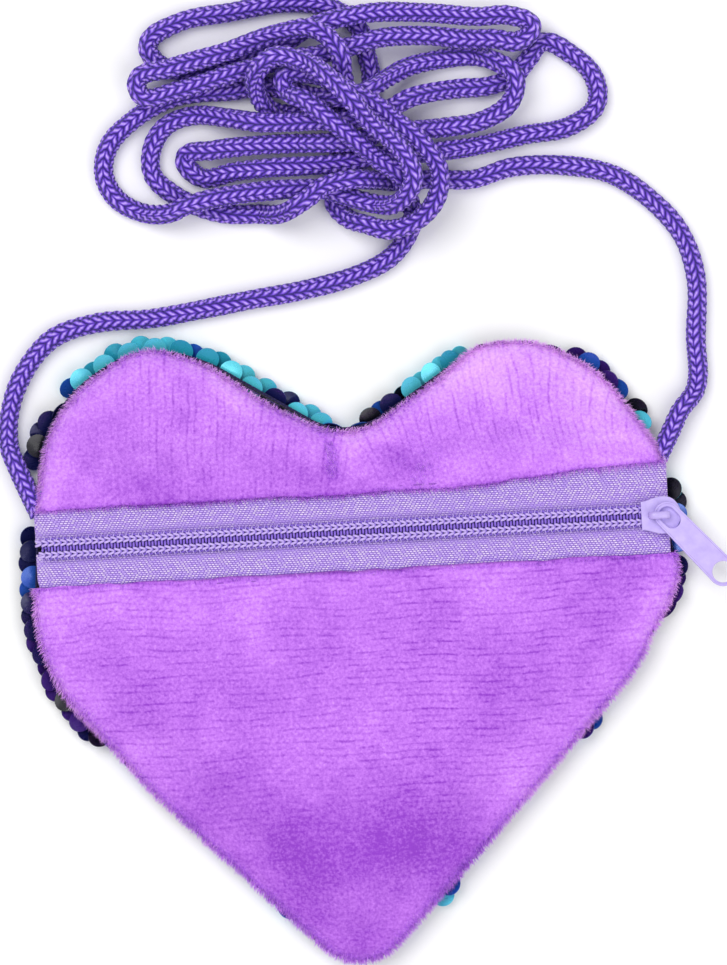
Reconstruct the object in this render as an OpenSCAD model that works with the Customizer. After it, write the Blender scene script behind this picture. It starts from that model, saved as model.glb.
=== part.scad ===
// Heart shaped coin purse: a plush back with a zip across it, a front of sequins, and a cord
// whose two ends are sewn into the side seams. It lies on its sequins.
// X runs along the zip to the slider, Y to the lobes, Z up from the surface it lies on.

/* [Heart outline] */
// Width across the shoulders
heart_w = 138; // [130:1:146]
// Height of the lobes' tops above the zip line
lobe_top = 40.5; // [39:0.5:43]
// Distance of each lobe's centre from the middle
lobe_x = 40; // [39:0.5:41]
// Radius of each lobe's top
lobe_r = 27; // [25.5:0.5:28]
// Drop of the shoulders' centres below the zip line
shoulder_drop = 13; // [11:0.5:16]
// Radius of each shoulder
shoulder_r = 32; // [29:0.5:34]
// Drop of the tip below the zip line
tip_drop = 91.5; // [86:0.5:98]
// Radius of the tip
tip_r = 10.7; // [9:0.1:13]
// Height of the notch's bottom above the zip line
notch_y = 22.6; // [21.5:0.1:24]
// Radius of the hollow of the notch
notch_r = 14; // [12:0.5:15]

/* [Cloth] */
// Thickness of the sequins' backing cloth
backing_t = 0.5; // [0.4:0.05:0.6]
// Radius of the backing cloth's turned-up rim
rim_r = 3.5; // [3.2:0.1:4]
// Thickness of the plush with its pile
plush_t = 1.6; // [1.3:0.1:1.8]
// Thickness of the plush where it is sewn
plush_edge_t = 0.5; // [0.4:0.05:0.7]
// Height that the back rises over its rim
shoulder_rise = 2; // [1.9:0.05:2.2]
// Rise of the upper panel's lobes over the zip
upper_crown = 3; // [2:0.1:4]
// Rise of the lower panel's middle over the zip
lower_crown = 4; // [3:0.1:5]
// Thickness of the lining
lining_t = 0.3; // [0.2:0.05:0.35]

/* [Sequins] */
// Diameter of a sequin
sequin_d = 5; // [4.5:0.1:5.2]
// Thickness of a sequin
sequin_t = 0.2; // [0.15:0.01:0.22]
// Diameter of the hole that its thread goes through
sequin_hole_d = 0.7; // [0.6:0.05:0.9]
// Distance between sequins in a row
sequin_pitch = 5.3; // [5.25:0.05:5.6]
// Distance between the rows
row_pitch = 3.1; // [3:0.05:3.3]
// Slope at which the sequins overlap, in degrees
sequin_tilt = 6; // [5.5:0.1:7]
// Distance between the sequins along the rim
rim_pitch = 5.6; // [5.5:0.05:6.2]
// Slope of the sequins on the rim, in degrees
rim_tilt = 40; // [37:1:43]

/* [Zip] */
// Width of each zip tape
tape_w = 11.4; // [10.5:0.1:12]
// Thickness of the zip tape
tape_t = 0.45; // [0.4:0.01:0.5]
// Gap between the two tapes under the coil
tape_gap = 2.2; // [2.1:0.05:2.4]
// Length of the zip tapes
tape_l = 136; // [132:0.5:136]
// Width of zip left bare by the panels
mouth_w = 16.4; // [15:0.2:17]
// Distance between the coil's turns
coil_pitch = 1.35; // [1.3:0.01:1.5]
// Diameter of the coil's filament
filament_d = 0.54; // [0.48:0.01:0.56]
// Width of the closed coil
coil_w = 4.8; // [4.4:0.1:4.9]
// Height of the coil
coil_h = 1.5; // [1.4:0.02:1.55]
// Length of the coil
coil_l = 133; // [131:0.1:133.2]

/* [Slider and pull tab] */
// Distance of the closed slider's middle from the middle of the zip
slider_x = 66.3; // [66:0.1:66.5]
// Length of the slider
slider_l = 8.6; // [8.4:0.1:9]
// Width of the slider
slider_w = 8.2; // [7.8:0.1:9]
// Thickness of the slider's plates
plate_t = 0.7; // [0.6:0.05:0.75]
// Thickness of the pull tab
tab_t = 1; // [0.8:0.05:1.1]
// Length of the pull tab
tab_l = 23; // [20:0.5:26]
// Width of the pull tab at the slider
tab_base_w = 5.6; // [5.5:0.05:5.8]
// Width of the pull tab at its free end
tab_end_w = 6.2; // [5.8:0.1:7]
// Width of the hole around the slider's bridge
base_hole_w = 3.5; // [3.4:0.05:3.6]
// Length of the hole around the slider's bridge
base_hole_l = 5.1; // [5:0.1:5.6]
// Diameter of the hole at the pull tab's free end
end_hole_d = 4.6; // [4:0.1:4.8]
// Angle at which the pull tab lies, from the zip line
tab_angle = -48.7; // [-52:0.1:-44]

/* [Cord] */
// Diameter of the cord
cord_d = 4.2; // [3.9:0.1:4.2]

/* [Hidden] */

// Clearances
cloth_gap = 0.1;
sequin_gap = 0.08;
rest_drop = 0.05;
cut_over = 0.2;

// Outline: arcs as [centre x, centre y, radius], from the notch round to the tip, a hollow one
// with a minus, then the number of steps in each arc and in each line between two arcs
ARCS = [[0, notch_y + notch_r, -notch_r],
        [lobe_x, lobe_top - lobe_r, lobe_r],
        [heart_w / 2 - shoulder_r, -shoulder_drop, shoulder_r],
        [0, tip_r - tip_drop, tip_r]];
ARC_STEPS = [3, 11, 5, 4];
LINE_STEPS = [2, 3, 6];

function unit(a) = [cos(a), sin(a)];
function mix(a, b, t) = a + (b - a) * t;
function smooth(t) = let (u = max(0, min(1, t))) u * u * (3 - 2 * u);
function bulge(t) = let (u = max(0, min(1, t))) sqrt(1 - (1 - u) * (1 - u));
function facing(a, b) = let (d = [b.x - a.x, b.y - a.y])
    atan2(d.y, d.x) + acos((a.z - b.z) / norm(d));
FACINGS = [90, facing(ARCS[0], ARCS[1]), facing(ARCS[1], ARCS[2]), facing(ARCS[2], ARCS[3]), -90];
function on_arc(k, a) = [ARCS[k].x, ARCS[k].y] + ARCS[k].z * unit(a);
function arc_row(k) = [for (i = [0:ARC_STEPS[k]])
    let (a = mix(FACINGS[k], FACINGS[k + 1], i / ARC_STEPS[k])) [on_arc(k, a), unit(a)]];
function line_row(k) = [for (i = [1:LINE_STEPS[k] - 1])
    let (a = FACINGS[k + 1]) [mix(on_arc(k, a), on_arc(k + 1, a), i / LINE_STEPS[k]), unit(a)]];

// Each row is a point of the outline and the way out of the heart there
HALF = [for (k = [0:3]) each concat(arc_row(k), k < 3 ? line_row(k) : [])];
RIM = concat(HALF, [for (i = [len(HALF) - 2:-1:1]) [[-HALF[i][0].x, HALF[i][0].y],
                                                     [-HALF[i][1].x, HALF[i][1].y]]]);
function heart(inset) = [for (r = RIM) r[0] - inset * r[1]];
EDGE = heart(0);
CENTRE = [0, -shoulder_drop];

// How far inside the outline a point lies
function to_segment(p, a, b) = let (d = b - a, t = max(0, min(1, (p - a) * d / (d * d))))
    norm(p - a - t * d);
function depth(p) = min([for (i = [0:len(EDGE) - 1])
    to_segment(p, EDGE[i], EDGE[(i + 1) % len(EDGE)])]);
function crosses(p, a, b) = (a.y > p.y) != (b.y > p.y)
    && p.x < a.x + (b.x - a.x) * (p.y - a.y) / (b.y - a.y);
function inside(p) = len([for (i = [0:len(EDGE) - 1])
    if (crosses(p, EDGE[i], EDGE[(i + 1) % len(EDGE)])) 1]) % 2 == 1;

// Levels above the surface that the purse lies on
field_rise = sequin_d / 2 * sin(sequin_tilt) + sequin_t / 2 * cos(sequin_tilt);
rest_z = field_rise;
field_z = rest_z + rest_drop;
backing_z = field_z + field_rise + sequin_gap;
front_lining_z = backing_z + backing_t + cloth_gap;
seam_z = backing_z + rim_r + cloth_gap;
panel_z = seam_z + shoulder_rise;
tape_top = panel_z - cloth_gap / 2;
tape_z = tape_top - tape_t;
lining_drop = tape_t + cloth_gap * 2;
coil_low = tape_top + cloth_gap / 2 + filament_d / 2;
coil_high = coil_low + coil_h - filament_d;
coil_out = coil_w / 2 - filament_d / 2;
coil_in = filament_d * 0.65;
slot_gap = 0.2;
plate_low = tape_z - slot_gap - plate_t;
plate_high = coil_high + filament_d / 2 + slot_gap;
plate_top = plate_high + plate_t;

// Sequins: places in the field, kept clear of the rim
rim_centre_inset = 0.3;
rim_reach = sequin_d / 2 * cos(rim_tilt);
rim_z = backing_z + rim_r / 2 - sequin_t * 2.5;
field_inset = rim_centre_inset + rim_reach + sequin_d / 2 + sequin_t;
hole_y = sequin_d / 2 - sequin_hole_d * 0.9;
rows_up = floor(lobe_top / row_pitch);
rows_down = floor(tip_drop / row_pitch);
half_row = ceil(heart_w / 2 / sequin_pitch);
PLACES = [for (j = [-rows_down:rows_up], i = [-half_row:half_row])
    let (p = [(i + (j % 2 == 0 ? 0 : 0.5)) * sequin_pitch, j * row_pitch])
    if (inside(p) && depth(p) > field_inset) p];
// The three spots that the purse rests on
rest_spot_r = sequin_pitch * 1.1;
LEFT_SPOT = [-lobe_x, lobe_top - lobe_r];
RIGHT_SPOT = [lobe_x, lobe_top - lobe_r];
TIP_SPOT = [0, tip_r * 2 - tip_drop];
function near(p, spot) = norm(p - spot) < rest_spot_r;
function rests(p) = near(p, LEFT_SPOT) || near(p, RIGHT_SPOT) || near(p, TIP_SPOT);

// Sequins round the rim, evenly spaced along it
function lengths(ps, i = 0, sum = 0) = i >= len(ps) - 1 ? [sum]
    : concat([sum], lengths(ps, i + 1, sum + norm(ps[i + 1] - ps[i])));
ROUND = concat(EDGE, [EDGE[0]]);
ROUND_AT = lengths(ROUND);
round_l = ROUND_AT[len(ROUND_AT) - 1];
rim_count = floor(round_l / rim_pitch);
function seat(s) = let (n = len(RIM),
    i = max([for (k = [0:n - 1]) if (ROUND_AT[k] <= s) k]),
    t = (s - ROUND_AT[i]) / (ROUND_AT[i + 1] - ROUND_AT[i]),
    way = mix(RIM[i][1], RIM[(i + 1) % n][1], t))
    [mix(RIM[i][0], RIM[(i + 1) % n][0], t), atan2(way.y, way.x)];
ALL_SEATS = [for (k = [0:rim_count - 1]) seat((k + 0.5) * round_l / rim_count)];

// Where the cord's ends are sewn into the side seams, a little inside the outline, and the way
// that each runs out of its seam
tail_l = cord_d * 5 / 3;
tail_inset = backing_t * 1.2;
tail_z = tape_z - cloth_gap - cord_d / 2;
function sewn(y, a) = [crossing(halved(tail_inset), y).x, y, a];
RIGHT_SEWN = sewn(lobe_top * 0.24, 60);
LEFT_SEWN = sewn(lobe_top * 0.09, 65);
function sewn_gap(p, end, l) = to_segment(p, [end.x, end.y], [end.x, end.y] + l * unit(end.z));
function sewn_near(p, l, gap) = sewn_gap(p, RIGHT_SEWN, l) < gap
    || sewn_gap([-p.x, p.y], LEFT_SEWN, l) < gap;
SEATS = [for (s = ALL_SEATS) if (!sewn_near(s[0], tail_l + cord_d,
    cord_d / 2 + sequin_d / 2 + sequin_gap * 4)) s];

// The frame's origin is under the middle of the purse with its pull tab
tab_wall = (tab_base_w - base_hole_w) / 2;
ring_x = (tab_base_w + base_hole_w) / 4;
pivot_x = slider_x - slider_l * 0.13;
tab_span = tab_l - (tab_base_w + tab_end_w) / 2;
TAB_WAY = unit(tab_angle);
tab_end_x = pivot_x + ring_x + tab_span * TAB_WAY.x + tab_end_w / 2;
function reach(a, way) = let (n = [sin(rim_tilt) * cos(a), sin(rim_tilt) * sin(a)], s = n * way)
    sequin_d / 2 * sqrt(1 - s * s) + sequin_t / 2 * abs(s);
function extent(way) = max([for (s = SEATS)
    (s[0] - rim_centre_inset * unit(s[1])) * way + reach(s[1], way)]);
frame_x = (tab_end_x - extent([-1, 0])) / 2;
frame_y = (extent([0, 1]) - extent([0, -1])) / 2;
module in_frame() {
    translate([-frame_x, -frame_y, 0]) children();
}

// A closed surface through rings of points, with a point to close each end
module lofted(rings, first, last) {
    n = len(rings[0]);
    m = len(rings);
    points = concat([first], [for (r = rings) each r], [last]);
    faces = concat(
        [for (j = [0:n - 1]) [0, 1 + (j + 1) % n, 1 + j]],
        [for (i = [0:m - 2], j = [0:n - 1]) let (a = 1 + i * n + j, b = 1 + i * n + (j + 1) % n)
            each [[a, b, b + n], [a, b + n, a + n]]],
        [for (j = [0:n - 1]) let (a = 1 + (m - 1) * n) [m * n + 1, a + j, a + (j + 1) % n]]);
    polyhedron(points, faces);
}

// A cloth between an upper and a lower grid of points, with the same rows and columns
module cloth(upper, lower) {
    m = len(upper) - 1;
    n = len(upper[0]) - 1;
    s = (m + 1) * (n + 1);
    function at(i, j) = i * (n + 1) + j;
    points = concat([for (r = upper) each r], [for (r = lower) each r]);
    // Each square is cut along the diagonal that runs up towards the middle column
    function cuts(i, j) = let (a = at(i, j), b = at(i + 1, j), c = at(i + 1, j + 1), d = at(i, j + 1))
        j < n / 2 ? [[a, b, d], [b, c, d]] : [[a, b, c], [a, c, d]];
    faces = concat(
        [for (i = [0:m - 1], j = [0:n - 1]) each cuts(i, j)],
        [for (i = [0:m - 1], j = [0:n - 1], t = cuts(i, j)) [s + t[2], s + t[1], s + t[0]]],
        [for (j = [0:n - 1]) each [[at(0, j), at(0, j + 1), s + at(0, j + 1)],
                                   [at(0, j), s + at(0, j + 1), s + at(0, j)],
                                   [at(m, j + 1), at(m, j), s + at(m, j)],
                                   [at(m, j + 1), s + at(m, j), s + at(m, j + 1)]]],
        [for (i = [0:m - 1]) each [[at(i + 1, 0), at(i, 0), s + at(i, 0)],
                                   [at(i + 1, 0), s + at(i, 0), s + at(i + 1, 0)],
                                   [at(i, n), at(i + 1, n), s + at(i + 1, n)],
                                   [at(i, n), s + at(i + 1, n), s + at(i, n)]]]);
    polyhedron(points, faces);
}

// The back's height over its rim, and its crown, which leaves the zip in a level valley
upper_valley = lobe_r * 0.5;
lower_valley = shoulder_r * 0.85;
crown_depth = shoulder_r / 2;
tape_edge = tape_gap / 2 + tape_w;
function crown(p) = smooth(depth(p) / crown_depth)
    * (p.y > 0 ? upper_crown * smooth((p.y - tape_edge) / upper_valley)
               : lower_crown * smooth((-p.y - tape_edge) / lower_valley));
function under(p) = seam_z + shoulder_rise * bulge(depth(p) / rim_r) + crown(p);
function over(p) = under(p) + mix(plush_edge_t, plush_t, bulge(depth(p) / plush_t));

// The outline of one panel, from its corner at the mouth round to the other corner
function crossing(ps, y) = [for (i = [0:len(ps) - 2]) let (a = ps[i], b = ps[i + 1])
    if ((a.y - y) * (b.y - y) <= 0 && a.x > 0) mix(a, b, (y - a.y) / (b.y - a.y))][0];
function mirrored(ps) = [for (i = [len(ps) - 1:-1:0]) [-ps[i].x, ps[i].y]];
function halved(inset) = [for (r = HALF) r[0] - inset * r[1]];
function upper_half(inset, y) = let (ps = halved(inset))
    concat([crossing(ps, y)], [for (i = [len(ps) - 1:-1:0]) if (ps[i].y > y + cloth_gap) ps[i]]);
function lower_half(inset, y) = let (ps = halved(inset))
    concat([crossing(ps, y)], [for (p = ps) if (p.y < y - cloth_gap) p]);
function joined(half) = concat(half, [for (i = [len(half) - 2:-1:0]) [-half[i].x, half[i].y]]);
// Columns of points from the outline to the straight edge at the mouth
function column_grid(border, y, rows) = let (at = lengths(border), whole = at[len(at) - 1],
    edge_x = border[0].x - rim_r)
    [for (i = [0:rows]) let (t = pow(i / rows, 1.5))
        [for (k = [0:len(border) - 1]) mix(border[k], [edge_x * (1 - 2 * at[k] / whole), y], t)]];
// The same with one row along the tape's edge, so that a lining lies level under the tape
function lining_grid(border, y, rows) = let (at = lengths(border), whole = at[len(at) - 1],
    edge_x = border[0].x - rim_r)
    [for (i = [0:rows + 1]) [for (k = [0:len(border) - 1]) let (b = border[k], h = abs(b.y),
            edge_t = max(0.5, h > tape_edge ? (h - tape_edge) / (h - abs(y)) : 0),
            t = i > rows ? 1 : edge_t * pow(i / rows, 1.5))
        mix(b, [edge_x * (1 - 2 * at[k] / whole), y], t)]];
function raised(grid, drop) = [for (r = grid) [for (p = r) [p.x, p.y, under(p) - drop]]];
function topped(grid) = [for (r = grid) [for (p = r) [p.x, p.y, over(p)]]];

module panel(border, y, rows) {
    grid = column_grid(border, y, rows);
    flip = y < 0 ? 1 : 0;
    cloth(flip == 1 ? topped(grid) : raised(grid, 0), flip == 1 ? raised(grid, 0) : topped(grid));
}
module lining(border, y, rows) {
    grid = lining_grid(border, y, rows);
    top = raised(grid, lining_drop);
    low = raised(grid, lining_drop + lining_t);
    cloth(y < 0 ? top : low, y < 0 ? low : top);
}

module upper_plush_panel() color("mediumorchid") in_frame()
    panel(joined(upper_half(0, mouth_w / 2)), mouth_w / 2, 9);

module lower_plush_panel() color("mediumorchid") in_frame()
    panel(joined(lower_half(0, -mouth_w / 2)), -mouth_w / 2, 12);

lining_inset = 1.2;
lining_y = mouth_w / 2 + cloth_gap;
module upper_lining() color("plum") in_frame()
    lining(joined(upper_half(lining_inset, lining_y)), lining_y, 5);

module lower_lining() color("plum") in_frame()
    lining(joined(lower_half(lining_inset, -lining_y)), -lining_y, 7);

// The backing cloth: flat under the sequins, and turned up all round to the seam
RIM_ANGLES = [0, 30, 60, 90];
function rim_ring(r, a) = [for (p = heart(rim_r - r * sin(a)))
    [p.x, p.y, backing_z + rim_r - r * cos(a)]];
module backing_cloth() color("midnightblue") in_frame()
    lofted(concat([for (a = RIM_ANGLES) rim_ring(rim_r, a)],
                  [for (i = [3:-1:0]) rim_ring(rim_r - backing_t, RIM_ANGLES[i])]),
           [CENTRE.x, CENTRE.y, backing_z], [CENTRE.x, CENTRE.y, backing_z + backing_t]);

module front_lining() color("plum") in_frame()
    translate([0, 0, front_lining_z]) linear_extrude(lining_t) polygon(heart(rim_r + lining_t));

// Sequins
module sequin() {
    translate([0, 0, -sequin_t / 2]) linear_extrude(sequin_t) difference() {
        circle(d = sequin_d, $fn = 48);
        translate([0, hole_y]) circle(d = sequin_hole_d, $fn = 24);
    }
}
module flat_sequin(p, z) {
    translate([p.x, p.y, z]) rotate([sequin_tilt, 0, 0]) sequin();
}
module spot(centre) {
    for (p = PLACES) if (near(p, centre)) flat_sequin(p, rest_z);
}
module field_sequins() color("teal") in_frame()
    for (p = PLACES) if (!rests(p)) flat_sequin(p, field_z);

module left_lobe_sequins() color("turquoise") in_frame() spot(LEFT_SPOT);

module right_lobe_sequins() color("turquoise") in_frame() spot(RIGHT_SPOT);

module tip_sequins() color("turquoise") in_frame() spot(TIP_SPOT);

module rim_sequins() color("darkslateblue") in_frame()
    for (s = SEATS) let (p = s[0] - rim_centre_inset * unit(s[1]))
        translate([p.x, p.y, rim_z]) rotate([0, 0, s[1] - 90]) rotate([rim_tilt, 0, 0]) sequin();

// A stitch through each sequin's hole, up to the backing cloth
stitch_r = sequin_hole_d * 0.25;
stitch_low = sequin_gap;
module sequin_stitches() color("indigo") in_frame()
    for (p = PLACES) translate([p.x, p.y + hole_y * cos(sequin_tilt), backing_z - stitch_low - field_rise])
        cylinder(r = stitch_r, h = field_rise + stitch_low - cut_over / 10, $fn = 16);

// Stitches that close the seam round the rim, inside
seam_stitch_l = 3.2;
seam_stitch_r = 0.2;
seam_stitch_step = 4.8;
seam_stitch_inset = backing_t + lining_inset / 2 - seam_stitch_r / 2;
seam_count = floor(round_l / seam_stitch_step);
module rim_seam_stitches() color("indigo") in_frame()
    for (k = [0:seam_count - 1]) let (s = seat((k + 0.5) * round_l / seam_count),
                                     p = s[0] - seam_stitch_inset * unit(s[1]))
        if (!sewn_near(p, tail_l, (cord_d + seam_stitch_l) / 2 + cloth_gap))
        translate([p.x, p.y, seam_z - seam_stitch_r * 2]) rotate([0, 0, s[1] + 90]) rotate([0, 90, 0])
            cylinder(r = seam_stitch_r, h = seam_stitch_l, center = true, $fn = 16);

// Zip tapes: wide between the panels, shorter where a panel covers them
tape_cover_inset = rim_r * 1.3;
module zip_tape() {
    inner = tape_gap / 2;
    bare = mouth_w / 2 - cloth_gap;
    covered = crossing(halved(tape_cover_inset), tape_edge).x;
    translate([0, 0, tape_z]) linear_extrude(tape_t) polygon([
        [-tape_l / 2, inner], [tape_l / 2, inner], [tape_l / 2, bare], [covered, bare],
        [covered, tape_edge], [-covered, tape_edge], [-covered, bare], [-tape_l / 2, bare]]);
}
module upper_zip_tape() color("thistle") in_frame() zip_tape();

module lower_zip_tape() color("thistle") in_frame() mirror([0, 1, 0]) zip_tape();

// One coil: a filament that goes out and back over the tape's edge at each turn
coil_turns = floor(coil_l / coil_pitch);
function coil_corner(k, x) = [x, k < 1 || k > 2 ? coil_out : -coil_in, k < 2 ? coil_high : coil_low];
// On to the next turn, and across and out at each corner of a turn
STEP_ON = [coil_pitch, 0, coil_high - coil_low] / norm([coil_pitch, coil_high - coil_low]);
function coil_across(k) = k == 1 || k == 2 ? [1, 0, 0] : [STEP_ON.z, 0, -STEP_ON.x];
function coil_way(k) = k == 1 || k == 2 ? [0, -1, k == 1 ? 1 : -1]
    : [0, 1, 0] + (k == 0 ? 1 : -1) * STEP_ON;
module filament(start) {
    r = filament_d / 2;
    // Each ring is a square on the corner's mitre
    rings = [for (i = [0:coil_turns - 1], k = [0:3]) let (
            c = coil_corner(k, start + i * coil_pitch), o = coil_way(k) * r, a = coil_across(k) * r)
        [c + a, c + o, c - a, c - o]];
    n = 4;
    m = len(rings);
    points = [for (q = rings) each q];
    polyhedron(points, concat([[3, 2, 1, 0]],
        [for (i = [0:m - 2], j = [0:n - 1]) let (a = i * n + j, b = i * n + (j + 1) % n)
            each [[a, b, b + n], [a, b + n, a + n]]],
        [[for (j = [0:n - 1]) (m - 1) * n + j]]));
}
module upper_coil() color("rebeccapurple") in_frame() filament(-coil_l / 2);

module lower_coil() color("rebeccapurple") in_frame() mirror([0, 1, 0])
    filament(-coil_l / 2 + coil_pitch / 2);

// The cord inside each coil
coil_cord_r = (coil_high - coil_low - filament_d) * 0.4;
module coil_cord() {
    translate([-coil_l / 2, (coil_out - coil_in) / 2, (coil_high + coil_low) / 2])
        rotate([0, 90, 0]) cylinder(r = coil_cord_r, h = coil_l, $fn = 24);
}
module upper_coil_cord() color("slateblue") in_frame() coil_cord();

module lower_coil_cord() color("slateblue") in_frame() mirror([0, 1, 0]) coil_cord();

// The thread over each coil, with a leg down to the tape between every other pair of turns
thread_r = 0.09;
leg_r = thread_r * 0.8;
thread_y = coil_out * 0.75;
thread_z = coil_high + filament_d / 2 + thread_r;
module coil_stitching(start) {
    translate([-coil_l / 2, thread_y, thread_z]) rotate([0, 90, 0])
        cylinder(r = thread_r, h = coil_l, $fn = 16);
    for (i = [0:2:coil_turns - 2])
        translate([start + (i + 0.5) * coil_pitch, thread_y, tape_top + cloth_gap / 2])
            cylinder(r = leg_r, h = thread_z - tape_top - cloth_gap / 2, $fn = 16);
}
module upper_coil_stitching() color("lavender") in_frame() coil_stitching(-coil_l / 2);

module lower_coil_stitching() color("lavender") in_frame() mirror([0, 1, 0])
    coil_stitching(-coil_l / 2 + coil_pitch / 2);

// The stitches that hold each panel's edge on its tape, lying on the plush beside the mouth
tape_stitch_l = 2.6;
tape_stitch_step = 3.6;
tape_stitch_r = 0.2;
tape_stitch_y = mouth_w / 2 + 1.2;
tape_seam_l = tape_l - rim_r * 4;
module tape_seam() {
    count = floor(tape_seam_l / tape_stitch_step);
    for (k = [0:count - 1]) let (x = (k + 0.5 - count / 2) * tape_stitch_step)
        translate([x, tape_stitch_y, over([x, tape_stitch_y]) + tape_stitch_r + cloth_gap])
            rotate([0, 90, 0]) cylinder(r = tape_stitch_r, h = tape_stitch_l, center = true, $fn = 16);
}
module upper_tape_seam() color("mediumpurple") in_frame() tape_seam();

module lower_tape_seam() color("mediumpurple") in_frame() mirror([0, 1, 0]) tape_seam();

// Bar tacks that hold the tapes' ends down on the rim
tack_l = 1.2;
tack_in = slider_w / 2 + 0.8;
// They end short of the cord's sewn end
tack_out = LEFT_SEWN.x - cord_d / 2 * sin(LEFT_SEWN.z) - cloth_gap * 2;
module zip_tacks(side) {
    x = side * (tack_out - tack_l / 2);
    w = mouth_w / 2 - cloth_gap * 2 - tack_in;
    for (s = [-1, 1]) translate([x, s * (tack_in + w / 2), (seam_z + tape_z) / 2])
        cube([tack_l, w, tape_z - seam_z - cloth_gap * 2], center = true);
}
module left_zip_tacks() color("blueviolet") in_frame() zip_tacks(-1);

module right_zip_tacks() color("blueviolet") in_frame() zip_tacks(1);

// Slider: two plates joined by a post ahead of the coil, with rails beside it and a bridge on top
rail_in = coil_w / 2 + slot_gap * 1.7;
post_w = tape_gap - slot_gap * 2;
post_l = slider_l * 0.28;
function plate_outline(w, l) = concat([[-l / 2, -w / 2]],
    [for (i = [0:12]) [l / 2 - w * 0.45, 0] + [w * 0.45 * sin(i * 15), -w / 2 * cos(i * 15)]],
    [[-l / 2, w / 2]]);
module plate(z) {
    translate([0, 0, z]) linear_extrude(plate_t) polygon(plate_outline(slider_w, slider_l));
}
module rails() {
    floor_z = tape_top + slot_gap;
    for (s = [-1, 1]) translate([-slider_l / 2, s > 0 ? rail_in : -slider_w / 2, floor_z])
        cube([slider_l * 0.6, slider_w / 2 - rail_in, plate_high - floor_z]);
}
bar_r = 0.65;
foot_r = 0.45;
pivot_z = plate_top + tab_t * 0.8;
bar_z = pivot_z + base_hole_w / 2;
left_foot = -(tab_wall / 2 + foot_r + slot_gap * 1.7);
right_foot = base_hole_l / 2;
module bridge() {
    translate([left_foot - foot_r, 0, bar_z]) rotate([0, 90, 0])
        cylinder(r = bar_r, h = right_foot - left_foot + foot_r * 2, $fn = 32);
    for (x = [left_foot, right_foot]) translate([x, 0, plate_top - plate_t / 2])
        cylinder(r = foot_r, h = bar_z - plate_top + plate_t / 2, $fn = 32);
}
module slider_body() color("lavender") in_frame() {
    translate([slider_x, 0, 0]) {
        plate(plate_low);
        plate(plate_high);
        rails();
        translate([slider_l / 2 - post_l - slot_gap, -post_w / 2, plate_low + plate_t / 2])
            cube([post_l, post_w, plate_high - plate_low]);
    }
    translate([pivot_x, 0, 0]) bridge();
}

// Pull tab: a flat plate between two round ends, each with its hole
ROUND_STEPS = [0:24];
function two_ended(r1, r2, span) = let (a = acos((r1 - r2) / span), n = 24) concat(
    [for (i = ROUND_STEPS) r1 * unit(tab_angle + a + (360 - 2 * a) * i / n)],
    [for (i = ROUND_STEPS) span * TAB_WAY + r2 * unit(tab_angle - a + 2 * a * i / n)]);
base_hole_r = base_hole_w / 2;
module tab_shape() {
    difference() {
        polygon(two_ended(tab_base_w / 2, tab_end_w / 2, tab_span));
        polygon(two_ended(base_hole_r, base_hole_r, base_hole_l - base_hole_w));
        translate(tab_span * TAB_WAY) circle(d = end_hole_d, $fn = 64);
    }
}
module pull_tab() color("lavender") in_frame()
    translate([pivot_x + ring_x, 0, pivot_z - tab_t / 2]) linear_extrude(tab_t) tab_shape();

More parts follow.
